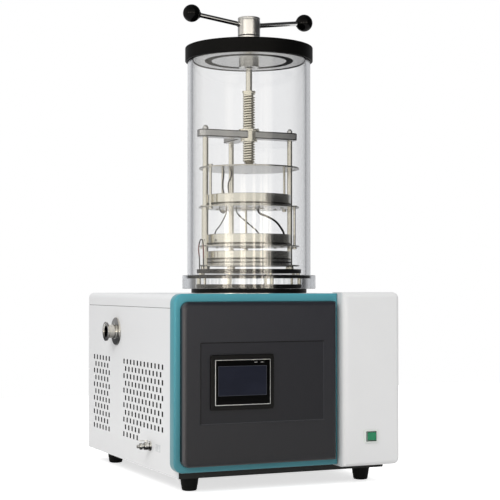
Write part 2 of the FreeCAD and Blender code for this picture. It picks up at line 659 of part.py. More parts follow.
# ---------------------------------------------------------------------------------------------
# Ports on the left side
# ---------------------------------------------------------------------------------------------
def make_vacuum_port():
    """Vacuum nipple: quick-flange rim with its 15 degree back, neck and wall flange in one piece."""
    body = new_body("vacuum_port", "lv.left_x", "lv.front_y + dim.port_y", "lv.port_z")
    reach, rim, neck = "dim.port_reach", "dim.port_flange_dia / 2", "dim.port_pipe_dia / 2"
    bore, wall = "dim.port_bore / 2", "dim.port_wall_dia / 2"
    sketch = outline(body, "XZ_Plane", [
        (f"-{reach}", bore), (f"-{reach}", rim), (f"-{reach} + 2.6", rim),
        (f"-{reach} + 5.8", neck), ("-4.5", neck), ("-3", f"{neck} + 3"), ("-3", wall), ("0", wall),
        ("0", neck), ("12", neck), ("12", bore)])
    made = body.newObject("PartDesign::Revolution", "vacuum_port_turned")
    made.Profile = sketch
    made.ReferenceAxis = (sketch, ["H_Axis"])
    made.Angle = 360.0
    doc.recompute()
    y = "lv.front_y + dim.port_y"
    z = "lv.port_z"
    inner = point("lv.left_x + 12", y, z)
    route = [inner, point("lv.cab_x", y, z), point("lv.cab_x", "lv.drum_y + lv.trap_r + 0.8", z)]
    solid("vacuum_pipe", bent_tube(route, value("dim.port_pipe_dia / 2"), 30.0, value("dim.pipe_bore / 2")))


def bent_path(points, bend):
    """Straight runs joined by tangent arcs of one radius."""
    edges = []
    start = points[0]
    for before, corner, after in zip(points, points[1:], points[2:]):
        arrive, leave = (corner - before).normalize(), (after - corner).normalize()
        turn = arrive.getAngle(leave)
        back = bend * math.tan(turn / 2)
        first, last = corner - arrive * back, corner + leave * back
        towards = (leave - arrive).normalize()
        middle = corner + towards * (bend / math.cos(turn / 2) - bend)
        if (first - start).Length > 1e-6:
            edges.append(Part.makeLine(start, first))
        edges.append(Part.Arc(first, middle, last).toShape())
        start = last
    edges.append(Part.makeLine(start, points[-1]))
    return Part.Wire(edges)


def swept(path, radius):
    edge = path.Edges[0]
    start = edge.valueAt(edge.FirstParameter)
    along = edge.tangentAt(edge.FirstParameter)
    ring = Part.Wire([Part.makeCircle(radius, start, along)])
    return path.makePipeShell([ring], True, False)


def bent_tube(points, radius, bend, bore=0.0):
    """A round tube or solid wire along a bent path, checked against its section times its length."""
    path = bent_path(points, bend)
    made = swept(path, radius)
    if bore:
        made = made.cut(swept(path, bore))
    expected = math.pi * (radius ** 2 - bore ** 2) * path.Length
    if abs(made.Volume - expected) > 0.02 * expected:
        raise RuntimeError(f"a tube's volume is {made.Volume:.0f}, not {expected:.0f}")
    return made


def make_drain():
    """Small ball valve for melt water, with its lever and hose barb."""
    x, y, z = "lv.left_x", "lv.front_y + dim.drain_y", "lv.floor_z + dim.drain_z"
    reach, body_r, barb_r = "dim.drain_reach", "dim.drain_body_dia / 2", "dim.drain_barb_dia / 2"
    body = new_body("drain_valve_body", x, y, z)
    sketch = outline(body, "XZ_Plane", [
        (f"-{reach}", "2.5"), (f"-{reach}", f"{barb_r} - 1"), (f"-{reach} + 5", f"{barb_r} - 1"),
        (f"-{reach} + 5", f"{body_r} - 0.8"), (f"-{reach} + 11", f"{body_r} - 0.8"),
        (f"-{reach} + 11", barb_r), ("-14", barb_r), ("-14", body_r), ("-3", body_r),
        ("-3", f"{body_r} + 2"), ("0", f"{body_r} + 2"), ("0", barb_r), ("14", barb_r), ("14", "2.5")])
    made = body.newObject("PartDesign::Revolution", "drain_valve_turned")
    made.Profile = sketch
    made.ReferenceAxis = (sketch, ["H_Axis"])
    made.Angle = 360.0
    doc.recompute()
    # Lever: a hub on the valve's stem and a blade along the barb's axis, above the body.
    stem_x = f"{x} - 8.5"
    hub = rod(stem_x, y, f"{z} + {body_r} + dim.fit_gap", "4", "4")
    blade = box(f"{stem_x} - 15", f"{y} - 3", f"{z} + {body_r} + dim.fit_gap + 2", stem_x, f"{y} + 3",
                f"{z} + {body_r} + dim.fit_gap + 4")
    keep("drain_valve_lever", fuse(hub, blade))


# ---------------------------------------------------------------------------------------------
# Cold trap
# ---------------------------------------------------------------------------------------------
def make_trap():
    wall = "dim.trap_wall"
    depth = "dim.trap_depth"
    pot = turned("trap_pot", [
        ("6", f"-{depth}"), (f"lv.trap_r + {wall}", f"-{depth}"), (f"lv.trap_r + {wall}", "0"),
        ("dim.trap_rim_dia / 2", "0"), ("dim.trap_rim_dia / 2", wall), ("lv.trap_r", wall),
        ("lv.trap_r", f"-{depth} + {wall}"), ("6", f"-{depth} + {wall}")], z="lv.top_z")
    hole = circles(pot, "XZ_Plane", [("0", "-lv.top_z + lv.port_z",
                                      "dim.port_pipe_dia / 2 + dim.run_gap")])
    pocket(pot, hole, "lv.trap_r + 10", False)

    lip = "dim.lip_dia / 2"
    turned("seat_ring", [
        ("dim.seat_bore / 2", "0"), ("dim.seat_dia / 2", "0"), ("dim.seat_dia / 2", "dim.seat_height"),
        (lip, "dim.seat_height"), (lip, "dim.seat_height + dim.lip_height"),
        ("dim.seat_bore / 2", "dim.seat_height + dim.lip_height")], z="lv.seat_z")

    floor = "lv.trap_floor - 2 - dim.foam_floor"
    foam = turned("trap_insulation", [
        ("8", floor), ("dim.foam_dia / 2", floor), ("dim.foam_dia / 2", "lv.top_z - lv.sheet_in"),
        ("dim.foam_bore / 2", "lv.top_z - lv.sheet_in"), ("dim.foam_bore / 2", "lv.trap_floor - 2"),
        ("8", "lv.trap_floor - 2")])
    gate = outline(foam, "XZ_Plane", [
        ("-dim.foam_gate / 2", "lv.trap_floor - 1"), ("dim.foam_gate / 2", "lv.trap_floor - 1"),
        ("dim.foam_gate / 2", "lv.top_z - 24"), ("-dim.foam_gate / 2", "lv.top_z - 24")])
    pocket(foam, gate, "dim.foam_dia", False)

    turns, pitch = value("dim.coil_turns"), value("dim.coil_pitch")
    radius, tube = value("lv.coil_r"), value("dim.coil_tube / 2")
    helix = Part.makeHelix(pitch, pitch * turns, radius)
    along = Vector(0, 1, pitch / (2 * math.pi * radius))
    start = Part.Wire([Part.makeCircle(tube, Vector(radius, 0, 0), along)])
    coil = Part.Wire(helix.Edges).makePipeShell([start], True, True)
    coil.rotate(Vector(), Z, 90)
    coil.translate(point("lv.cab_x", "lv.drum_y", "lv.coil_z"))
    solid("evaporator_coil", coil)


# ---------------------------------------------------------------------------------------------
# Drum, lid and shaft gland
# ---------------------------------------------------------------------------------------------
def make_drum():
    turned("drum_flange", [
        ("dim.flange_bore / 2", "0"), ("lv.flange_r", "0"),
        ("lv.flange_r", "dim.flange_height"), ("dim.flange_bore / 2", "dim.flange_height")],
        z="lv.seat_top")
    inner, outer = "dim.drum_dia / 2 - dim.drum_wall", "dim.drum_dia / 2"
    turned("drum_tube", [(inner, "0"), (outer, "0"), (outer, "dim.drum_height"), (inner, "dim.drum_height")],
           z="lv.flange_top")
    neck = "dim.gland_neck_dia / 2 + dim.run_gap"
    plate = "dim.drum_dia / 2 - 2.5"
    spigot = "dim.drum_dia / 2 - dim.drum_wall - 1.2"
    near = "(dim.lid_groove_dia - dim.lid_groove_width) / 2"
    far = "(dim.lid_groove_dia + dim.lid_groove_width) / 2"
    deep = "-dim.lid_spigot + dim.lid_groove_deep"
    turned("lid_plate", [
        (neck, "-dim.lid_spigot"), (near, "-dim.lid_spigot"), (near, deep), (far, deep),
        (far, "-dim.lid_spigot"), (spigot, "-dim.lid_spigot"), (spigot, "0"), (plate, "0"),
        (plate, "dim.lid_thick"), (neck, "dim.lid_thick")], z="lv.tube_top")
    outer = "lv.rim_r"
    skirt = "dim.drum_dia / 2 + dim.fit_gap"
    turned("lid_rim", [
        (skirt, "-dim.rim_skirt"), (outer, "-dim.rim_skirt"), (outer, "dim.lid_thick + dim.rim_lip - 1.5"),
        (f"{outer} - 1.5", "dim.lid_thick + dim.rim_lip"), (f"{plate} - 8", "dim.lid_thick + dim.rim_lip"),
        (f"{plate} - 8", "dim.lid_thick"), (f"{plate} + dim.run_gap", "dim.lid_thick"),
        (f"{plate} + dim.run_gap", "0"), (skirt, "0")], z="lv.tube_top")
    bore = "dim.shaft_dia / 2 + dim.run_gap"
    neck = "dim.gland_neck_dia / 2"
    top = "dim.gland_dia / 2"
    low = "-dim.lid_thick - dim.lid_spigot - dim.gland_nut_height"
    turned("gland_body", [
        (bore, low), (neck, low), (neck, "0"), (top, "0"), (top, "dim.gland_height - 1.5"),
        (f"{top} - 1.5", "dim.gland_height"), (bore, "dim.gland_height")], z="lv.lid_top")
    nut = "dim.gland_nut_dia / 2"
    turned("gland_nut", [
        (f"{neck} + dim.run_gap", "0"), (f"{nut} - 3", "0"), (nut, "3"), (nut, "dim.gland_nut_height"),
        (f"{neck} + dim.run_gap", "dim.gland_nut_height")], z="lv.gland_low")


# ---------------------------------------------------------------------------------------------
# T-handle, shaft and lead screw
# ---------------------------------------------------------------------------------------------
def make_handle():
    shaft = "dim.shaft_dia / 2"
    hub = "dim.gland_dia / 2"
    rise = math.degrees(math.atan2(value("dim.arm_rise"), value("dim.arm_reach")))
    arm_bore = []
    arms, knobs = [], []
    for side in (-1, 1):
        along = Vector(side * math.cos(math.radians(rise)), 0, math.sin(math.radians(rise)))
        root = point("lv.cab_x", "lv.drum_y", "lv.arm_z") + along * value(f"{shaft} + 2.5")
        end = point(f"lv.cab_x + {side} * dim.arm_reach", "lv.drum_y", "lv.arm_z + dim.arm_rise")
        length = (end - root).Length
        arm = Part.makeCylinder(value("dim.arm_dia / 2"), length, root, along)
        arms.append(arm)
        arm_bore.append(arm)
        ball = Part.makeSphere(value("dim.knob_dia / 2"), end, along)
        boss = Part.makeCylinder(value("dim.arm_dia / 2") + 3, value("dim.knob_dia / 2") + 1.5,
                                 end, along * -1)
        knobs.append(ball.fuse(boss).cut(arm))
    solid("handle_arms", Part.makeCompound(arms))
    solid("ball_knobs", Part.makeCompound(knobs))
    body = Part.makeCylinder(value(hub), value("dim.hub_height"), point("lv.cab_x", "lv.drum_y", "lv.hub_z"))
    rims = [e for e in body.Edges if e.Closed and e.Curve.TypeId == "Part::GeomCircle"]
    body = body.makeChamfer(1.2, rims)
    socket = Part.makeCylinder(value(shaft), value("dim.hub_height - 8"),
                               point("lv.cab_x", "lv.drum_y", "lv.hub_z"))
    solid("handle_hub", body.cut(Part.makeCompound([socket] + arm_bore)))

    low = "lv.gland_low - dim.shaft_drop + 16"
    key = f"{shaft} - dim.key_depth"
    rod_body = turned("drive_shaft", [
        ("0", low), (shaft, low), (shaft, "lv.hub_z + dim.hub_height - 8"),
        ("0", "lv.hub_z + dim.hub_height - 8")])
    groove = outline(rod_body, "XZ_Plane", [
        ("-dim.key_width / 2", low), ("dim.key_width / 2", low),
        ("dim.key_width / 2", "lv.gland_low - 1"), ("-dim.key_width / 2", "lv.gland_low - 1")])
    back_cut(rod_body, groove, key)


def back_cut(body, sketch, start):
    """Cuts a sketch of the XZ plane into the side that faces +Y, from a distance outwards."""
    bind(sketch, AttachmentOffset__Base__z=f"-({start})")
    pocket(body, sketch, "20", False)


def make_screw():
    """Hollow lead screw, plain at its thread's outer diameter, with collar, foot and inner key."""
    r, bore = "dim.screw_dia / 2", "(dim.shaft_dia / 2 + dim.run_gap)"
    top = "dim.screw_length"
    collar = "lv.collar_r"
    body = turned("lead_screw", [
        ("0", "-dim.screw_foot"), ("dim.screw_foot_dia / 2", "-dim.screw_foot"),
        ("dim.screw_foot_dia / 2", "0.1"), (r, "0.1"), (r, top), (collar, f"{top} + 0.8"),
        (collar, f"{top} + dim.screw_collar"), (bore, f"{top} + dim.screw_collar"), (bore, "12"),
        ("0", "12")], z="lv.screw_z")
    # The key stands in from the collar's bore into the shaft's keyway.
    start = "(dim.shaft_dia / 2 - dim.key_depth + 0.3)"
    key = outline(body, "XZ_Plane", [
        ("-dim.key_width / 2 + 0.15", f"{top} - 8"), ("dim.key_width / 2 - 0.15", f"{top} - 8"),
        ("dim.key_width / 2 - 0.15", f"{top} + dim.screw_collar"),
        ("-dim.key_width / 2 + 0.15", f"{top} + dim.screw_collar")])
    bind(key, AttachmentOffset__Base__z=f"-{start}")
    pad(body, key, "dim.screw_dia / 2 - 2.5 - dim.shaft_dia / 2 + dim.key_depth - 0.3", True)


# ---------------------------------------------------------------------------------------------
# Rack
# ---------------------------------------------------------------------------------------------
COLUMN_ANGLES = (0, 90, 180)


def around(radius, degrees):
    """Offsets, as expressions, of a place on a circle about the drum's axis."""
    a = math.radians(degrees)
    return f"{radius} * {math.cos(a):.9f}", f"{radius} * {math.sin(a):.9f}"


def hanger_angles(level):
    """The upper shelf's hangers stand a few degrees past each column, the middle shelf's before it."""
    turn = value("dim.upper_lead") if level == "upper" else -value("dim.middle_trail")
    return [turn, 90 + turn, 180 + turn]


def make_rack_base():
    """Black base of the rack: a thick disc on short posts, pierced for the vapour."""
    body = turned("rack_base", [
        ("30", "0"), ("dim.rack_dia / 2", "0"), ("dim.rack_dia / 2", "dim.rack_thick"),
        ("30", "dim.rack_thick")], z="lv.rack_z")
    hole = circles(body, "XY_Plane", [("60", "0", "15")])
    polar(body, pocket(body, hole, "dim.rack_thick", True), 6)
    post_r = "(dim.seat_bore + dim.lip_dia) / 4"
    post = circles(body, "XY_Plane", [(post_r, "0", "dim.post_dia / 2")])
    polar(body, pad(body, post, "dim.post_height", True), 8)


def make_columns():
    columns, nuts = [], []
    for angle in COLUMN_ANGLES:
        dx, dy = around("lv.column_r", angle)
        at = (f"lv.cab_x + {dx}", f"lv.drum_y + {dy}")
        collar = rod(*at, "lv.rack_top", "dim.collar_dia / 2", "dim.collar_height")
        shank = rod(*at, "lv.rack_top", "dim.column_dia / 2", "dim.column_length")
        stud = rod(*at, "lv.cross_z", "dim.stud_dia / 2", "dim.cross_thick + dim.cap_nut_height - 3")
        columns.append(fuse(collar, shank, stud))
        prism = doc.addObject("Part::Prism", "cap_nut")
        prism.Polygon = 6
        bind(prism, Circumradius="dim.cap_nut_width / 1.732", Height="dim.cap_nut_height / 2")
        place(prism, *at, "lv.cross_top")
        dome = rod(*at, "lv.cross_top + dim.cap_nut_height / 2", "dim.cap_nut_width / 2 - 0.4",
                   "dim.cap_nut_height / 2")
        bore = rod(*at, "lv.cross_top", "dim.stud_dia / 2", "dim.cap_nut_height - 3")
        nuts.append(cut(fuse(prism, dome), bore))
    keep("columns", group(*columns))
    keep("column_cap_nuts", group(*nuts))


def make_crosshead():
    """Bar over the left and right columns with an arm back to the third."""
    body = new_body("crosshead", "lv.cab_x", "lv.drum_y", "lv.cross_z")
    end, half = "(lv.column_r + dim.cross_end)", "dim.cross_width / 2"
    sketch = outline(body, "XY_Plane", [
        (f"-{end}", f"-{half}"), (end, f"-{half}"), (end, half), (half, half), (half, end),
        (f"-{half}", end), (f"-{half}", half), (f"-{end}", half)])
    pad(body, sketch, "dim.cross_thick")
    reach = value("lv.column_r + dim.cross_end") - 0.01
    corners = edges_where(body, Z, lambda c: max(abs(c.x), abs(c.y)) > reach)
    soften(body, corners, "dim.cross_width / 3")
    rounds = [("0", "0", "lv.nut_r + dim.run_gap")]
    rounds += [(*around("lv.column_r", a), "dim.stud_dia / 2 + dim.run_gap") for a in COLUMN_ANGLES]
    pocket(body, circles(body, "XY_Plane", rounds), "dim.cross_thick", True)

    bore, flange, r = "dim.screw_dia / 2 + dim.run_gap", "lv.nut_r + dim.nut_flange_reach", "lv.nut_r"
    top = "dim.cross_thick"
    turned("press_nut", [
        (bore, "-dim.nut_drop"), (r, "-dim.nut_drop"), (r, top), (flange, top),
        (flange, f"{top} + dim.nut_flange"), (bore, f"{top} + dim.nut_flange")], z="lv.cross_z")


def drilled_disc(label, z, dia, thick, pad_thick, holes):
    """A shelf plate with a raised round heater pad, and round holes for what passes through it."""
    points = [("0", "0"), (f"{dia} / 2", "0"), (f"{dia} / 2", thick)]
    if pad_thick:
        points += [("dim.pad_dia / 2", thick), ("dim.pad_dia / 2", f"{thick} + {pad_thick}"),
                   ("0", f"{thick} + {pad_thick}")]
    else:
        points += [("0", thick)]
    body = turned(label, points, z=z)
    pocket(body, circles(body, "XY_Plane", holes), thick, True)
    return body


def make_tray(label, z, rim):
    r, wall = "dim.tray_dia / 2", "dim.tray_wall"
    turned(label, [
        ("0", "0"), (r, "0"), (r, rim), (f"{r} - {wall}", rim), (f"{r} - {wall}", wall), ("0", wall)], z=z)


def make_hangers(label, level, z, length):
    """Three hanger rods: screwed into the lower plate, headed above the upper one."""
    rods = []
    for angle in hanger_angles(level):
        dx, dy = around("lv.column_r", angle)
        at = (f"lv.cab_x + {dx}", f"lv.drum_y + {dy}")
        foot = rod(*at, f"{z} - dim.hanger_nut", "dim.hanger_nut_dia / 2", "dim.hanger_nut")
        shank = rod(*at, f"{z} - dim.hanger_nut", "dim.hanger_dia / 2",
                    f"dim.hanger_nut + {length} + dim.hanger_nut")
        head = rod(*at, f"{z} + {length}", "dim.hanger_nut_dia / 2", "dim.hanger_nut")
        rods.append(fuse(foot, shank, head))
    keep(label, group(*rods))


def make_shelves():
    columns = [(*around("lv.column_r", a), "lv.slide_hole") for a in COLUMN_ANGLES]
    tight = "dim.hanger_dia / 2"
    slide = "dim.hanger_dia / 2 + 0.5"
    passing = "dim.hanger_nut_dia / 2 + 1"

    def rounds(level, radius):
        return [(*around("lv.column_r", a), radius) for a in hanger_angles(level)]

    fixed = [(x, y, "dim.column_dia / 2 + dim.run_gap") for x, y, _ in columns]
    drilled_disc("shelf_lower", "lv.lower_z", "dim.shelf_dia", "dim.shelf_thick", "dim.pad_lower", fixed)
    make_tray("tray_lower", "lv.lower_tray_z", "dim.tray_lower_rim")
    drilled_disc("shelf_middle", "lv.middle_z", "dim.shelf_dia", "dim.shelf_thick", "dim.pad_thick",
                 columns + rounds("middle", tight))
    make_tray("tray_middle", "lv.middle_z + dim.shelf_thick + dim.pad_thick", "dim.tray_rim")
    drilled_disc("shelf_upper", "lv.upper_z", "dim.shelf_dia", "dim.shelf_thick", "dim.pad_upper",
                 columns + rounds("middle", slide) + rounds("upper", tight))
    make_tray("tray_upper", "lv.upper_z + dim.shelf_thick + dim.pad_upper", "dim.tray_rim")
    drilled_disc("press_plate", "lv.press_z", "dim.press_dia", "dim.press_thick", "",
                 columns + rounds("upper", slide) + rounds("middle", passing))
    make_hangers("middle_hangers", "middle", "lv.middle_z", "dim.shelf_pitch + dim.shelf_thick")
    make_hangers("upper_hangers", "upper", "lv.upper_z", "dim.shelf_pitch + dim.press_thick")
    foot = "dim.screw_foot_dia / 2 + dim.run_gap"
    low = "dim.bearing_height - dim.screw_foot - 0.1"
    turned("thrust_bearing", [
        ("0", "0"), ("dim.bearing_dia / 2", "0"), ("dim.bearing_dia / 2", "dim.bearing_height - 1.5"),
        ("dim.bearing_dia / 2 - 1.5", "dim.bearing_height"), (foot, "dim.bearing_height"), (foot, low),
        ("0", low)], z="lv.bearing_z")


def make_leads():
    """Heater and probe leads, each a bent round wire that hangs from the plate above its tray."""
    def spot(x, y, z):
        return point(f"lv.cab_x + {x}", f"lv.drum_y + {y}", z)

    under = "lv.upper_z"
    floor = "lv.middle_z + dim.shelf_thick + dim.pad_thick + dim.tray_wall + dim.fit_gap"
    rim = "lv.middle_z + dim.shelf_thick + dim.pad_thick + dim.tray_rim"
    thick = bent_tube([spot(20, 0, under), spot(20, 0, f"{under} - 9"), spot(37, -3, f"{under} - 14"),
                       spot(57, -9, f"{under} - 25"), spot(67, -16, f"{under} - 42"),
                       spot(70, -20, f"{rim} + 2"), spot(70, -20, floor)], 2.1, 4.0)
    thin = bent_tube([spot(-26, 5, under), spot(-26, 5, f"{under} - 8"), spot(46, 50, f"{rim} + 7"),
                      spot(51, 57, f"{rim} - 3"), spot(51, 57, floor)], 1.5, 4.0)
    grey = bent_tube([spot(-45, 8, under), spot(-45, 8, f"{under} - 9"), spot(-56, 4, f"{under} - 27"),
                      spot(-66, -2, f"{rim} + 14"), spot(-77, -6, f"{rim} + 4"),
                      spot(-77, -6, floor)], 1.2, 3.0)
    droop = bent_tube([spot(-66, -6, under), spot(-66, -6, f"{under} - 6"), spot(-56, 0, f"{under} - 12"),
                       spot(-49, 2, f"{under} - 6"), spot(-49, 2, under)], 1.0, 3.0)
    solid("leads_middle", Part.makeCompound([thick, thin, grey, droop]))

    under = "lv.press_z"
    floor = "lv.upper_z + dim.shelf_thick + dim.pad_upper + dim.tray_wall + dim.fit_gap"
    pair = [bent_tube([spot(x, y, under), spot(x, y, f"{under} - 16"), spot(x + 2, y - 1, f"{under} - 38"),
                       spot(x + 1, y, floor)], 1.6, 12.0)
            for x, y in ((-25, 73.5), (-11, 77))]
    solid("leads_upper", Part.makeCompound(pair))

    radius = "(lv.column_r + 11.3)"

    def beside(degrees, z):
        dx, dy = around(radius, degrees)
        return spot(dx, dy, z)

    rise = "lv.rack_top + 56"
    loop = bent_tube([beside(180, "lv.rack_top"), beside(180, rise), beside(190, rise),
                      beside(190, "lv.rack_top")], 1.1, value(radius) * math.sin(math.radians(5)) - 0.02)
    solid("lead_base", loop)


# ---------------------------------------------------------------------------------------------
# Refrigeration and electrics
# ---------------------------------------------------------------------------------------------
def make_compressor():
    """Hermetic compressor: domed shell on a foot plate with four rubber grommets."""
    r, tall = "dim.comp_dia / 2", "dim.comp_height"
    z = "lv.floor_z + dim.sheet_thick + 0.5"
    shell = turned("compressor", [
        ("0", "dim.comp_lift"), (f"{r} - 12", "dim.comp_lift"), (r, "dim.comp_lift + 14"),
        (r, f"{tall} * 0.72"), (f"{r} * 0.86", f"{tall} * 0.9"), (f"{r} * 0.5", tall), ("0", tall)],
        "lv.cab_x + dim.comp_x", "lv.front_y + dim.comp_y", z)
    plate = outline(shell, "XY_Plane", [
        (f"-{r}", f"-{r}"), (r, f"-{r}"), (r, r), (f"-{r}", r)])
    bind(plate, AttachmentOffset__Base__z="dim.comp_lift")
    pad(shell, plate, "3")
    legs = circles(shell, "XY_Plane", [(f"{sx} * ({r} - 12)", f"{sy} * ({r} - 12)", "9")
                                       for sx in (-1, 1) for sy in (-1, 1)])
    pad(shell, legs, "dim.comp_lift")


def make_condenser():
    """Finned condenser with its serpentine tube, and the axial fan behind it."""
    x, y = value("lv.cab_x + dim.cond_x"), value("lv.front_y + dim.cond_y")
    z = value("lv.floor_z + dim.cond_low")
    wide, deep, tall = value("dim.cond_width"), value("dim.cond_depth"), value("dim.cond_tall")
    thick, pitch = value("dim.fin_thick"), value("dim.fin_pitch")
    radius = value("dim.cond_tube / 2")
    count = int((wide - 20) // pitch)
    runs = 6
    levels = [z + tall * (k + 0.5) / runs for k in range(runs)]
    left, right = x - wide / 2 + 4, x + wide / 2 - 4
    loop = (levels[1] - levels[0]) / 2 - 0.01
    route = []
    for k, level in enumerate(levels):
        ends = (left, right) if k % 2 == 0 else (right, left)
        route += [Vector(ends[0], y, level), Vector(ends[1], y, level)]
    tube = bent_tube(route, radius, loop)
    plates = []
    first = x - (count - 1) * pitch / 2
    for k in range(count):
        corner = Vector(first + k * pitch - thick / 2, y - deep / 2, z)
        fin = Part.makeBox(thick, deep, tall, corner)
        plates.append(fin)
    frames = [Part.makeBox(2, deep + 4, tall + 40,
                           Vector(side, y - deep / 2 - 2, value("lv.floor_z + dim.sheet_thick + 0.5")))
              for side in (first - pitch, first + count * pitch - 2)]
    block = Part.makeCompound(plates + frames)
    fused = tube.multiFuse(plates + frames)
    solid("condenser", fused)


def make_fan():
    """Compact axial fan: square frame with its motor on three spokes, and the impeller."""
    x, z = value("lv.cab_x + dim.cond_x"), value("lv.floor_z + dim.cond_low + dim.cond_tall / 2")
    y0, depth = value("lv.fan_y"), value("dim.fan_depth")
    frame, hole = value("dim.fan_frame"), value("dim.fan_dia / 2") + 2
    hub = value("dim.fan_hub / 2")
    block = Part.makeBox(frame, depth, frame, Vector(x - frame / 2, y0, z - frame / 2))
    corners = [e for e in block.Edges if abs(e.tangentAt(0).dot(Y)) > 0.9]
    block = block.makeFillet(10, corners)
    block = block.cut(Part.makeCylinder(hole, depth, Vector(x, y0, z), Y))
    motor = Part.makeCylinder(hub - 2, 12, Vector(x, y0 + depth - 12, z), Y)
    spokes = []
    for k in range(3):
        arm = Part.makeBox(hole + 4, 4, 5, Vector(x, y0 + depth - 4, z - 2.5))
        arm.rotate(Vector(x, y0, z), Y, 90 + 120 * k)
        spokes.append(arm)
    legs = Part.makeBox(frame, depth, z - frame / 2 - value("lv.floor_z + dim.sheet_thick + 0.5"),
                        Vector(x - frame / 2, y0, value("lv.floor_z + dim.sheet_thick + 0.5")))
    arch = Part.makeBox(frame - 30, depth, z - frame / 2 - value("lv.floor_z") - 8,
                        Vector(x - frame / 2 + 15, y0, value("lv.floor_z")))
    axle = Part.makeCylinder(3, 24, Vector(x, y0 + depth - 30, z), Y)
    solid("fan_frame", block.multiFuse([motor, legs.cut(arch), axle] + spokes))
    boss = Part.makeCylinder(hub, 16, Vector(x, y0 + 2, z), Y)
    blades = []
    tip = value("dim.fan_dia / 2") - 1
    for k in range(7):
        blade = Part.makeBox(tip - hub + 3, 1.6, 30, Vector(hub - 3, 0, -15))
        blade.rotate(Vector(), X, 38)
        blade.translate(Vector(x, y0 + 10, z))
        blade.rotate(Vector(x, y0, z), Y, 360 / 7 * k)
        blades.append(blade)
    ring = Part.makeCylinder(tip, 40, Vector(x, y0 - 12, z), Y)
    bore = Part.makeCylinder(3 + value("dim.run_gap"), 40, Vector(x, y0, z), Y)
    wheel = boss.multiFuse(blades).common(ring).cut(bore)
    solid("fan_blades", wheel)


def make_lines():
    """Refrigerant lines: suction, discharge and liquid, the last with its filter drier."""
    r = value("dim.line_dia / 2")
    comp = point("lv.cab_x + dim.comp_x", "lv.front_y + dim.comp_y", "lv.floor_z")
    top = value("lv.floor_z + dim.sheet_thick + 0.5 + dim.comp_height")
    back = "lv.drum_y + lv.coil_r"
    coil_top = value("lv.coil_z + dim.coil_pitch * dim.coil_turns")
    coil_low = value("lv.coil_z")
    cx, by = value("lv.cab_x"), value(back)
    suction = bent_tube([Vector(cx - 0.5, by, coil_top), Vector(cx - 12, by, coil_top),
                         Vector(cx - 12, by + 78, coil_top), Vector(comp.x, by + 78, coil_top),
                         Vector(comp.x, comp.y, coil_top), Vector(comp.x, comp.y, top)], r, 10.0)
    cond_x = value("lv.cab_x + dim.cond_x")
    cond_left = cond_x - value("dim.cond_width / 2") + 4
    z = value("lv.floor_z + dim.cond_low")
    tall = value("dim.cond_tall")
    high, low = z + tall * 5.5 / 6, z + tall * 0.5 / 6
    cond_y = value("lv.front_y + dim.cond_y")
    edge = comp.x + value("dim.comp_dia / 2")
    discharge = bent_tube([Vector(edge, comp.y, 110), Vector(edge + 14, comp.y, 110),
                           Vector(edge + 14, comp.y, high), Vector(edge + 14, cond_y, high),
                           Vector(cond_left, cond_y, high)], r, 10.0)
    liquid = bent_tube([Vector(cond_left, cond_y, low), Vector(cx - 12, cond_y, low),
                        Vector(cx - 12, cond_y - 60, low), Vector(cx + 12, cond_y - 60, low),
                        Vector(cx + 12, cond_y - 60, coil_low), Vector(cx + 12, by, coil_low),
                        Vector(cx + 0.5, by, coil_low)], r, 9.0)
    drier = Part.makeCylinder(11, 70, Vector(cx + 12, cond_y - 60, low + 35), Z)
    solid("refrigerant_lines", Part.makeCompound([suction, discharge, liquid.fuse(drier)]))


def make_electrics():
    """Control board behind the bulkhead, mains inlet and pump outlet on the rear sheet."""
    y = value("lv.front_y + lv.sheet_in")
    x, z = value("lv.cab_x + dim.column_left"), value("lv.floor_z + 120")
    board = Part.makeBox(92, 1.6, 150, Vector(x, y + 8, z))
    parts_on = [Part.makeBox(wide, deep, tall, Vector(x + dx, y + 9.6, z + dz))
                for dx, dz, wide, deep, tall in (
                    (8, 10, 30, 11, 40), (46, 12, 36, 8, 28), (10, 62, 22, 6, 22),
                    (44, 56, 30, 9, 34), (8, 100, 76, 9, 14), (14, 124, 60, 5, 12))]
    posts = [Part.makeCylinder(3, 8, Vector(x + dx, y, z + dz), Y)
             for dx in (5, 87) for dz in (5, 145)]
    solid("control_board", board.multiFuse(parts_on + posts))
    back = value("lv.back_y")
    height = value("lv.floor_z + dim.inlet_z")
    for label, at, opening in (("power_inlet", "dim.inlet_x", True), ("pump_outlet", "dim.outlet_x", False)):
        cx = value(f"lv.cab_x + {at}")
        flange = Part.makeBox(50, 3, 24, Vector(cx - 25, back, height - 12))
        flange = flange.makeFillet(5, [e for e in flange.Edges if abs(e.tangentAt(0).dot(Y)) > 0.9])
        barrel = Part.makeBox(27, 24, 20, Vector(cx - 13.5, back - 24, height - 10))
        collar = Part.makeBox(30, value("dim.rear_reach"), 22, Vector(cx - 15, back, height - 11))
        body = flange.multiFuse([barrel, collar])
        end = back + value("dim.rear_reach")
        if opening:
            well = Part.makeBox(24, 17, 16, Vector(cx - 12, end - 17, height - 8))
            pins = [Part.makeBox(2, 11, 4, Vector(cx + dx - 1, end - 17, height + dz - 2))
                    for dx, dz in ((-7, -1), (0, 3), (7, -1))]
            body = body.cut(well).multiFuse(pins)
        else:
            moat = Part.makeBox(24, 16, 16, Vector(cx - 12, end - 16, height - 8))
            face = Part.makeBox(20, 16, 12, Vector(cx - 10, end - 16, height - 6))
            slits = [Part.makeBox(2.4, 14, 4.4, Vector(cx + dx - 1.2, end - 14, height + dz - 2.2))
                     for dx, dz in ((-7, -1), (0, 3), (7, -1))]
            body = body.cut(moat.cut(face)).cut(Part.makeCompound(slits))
        solid(label, body)


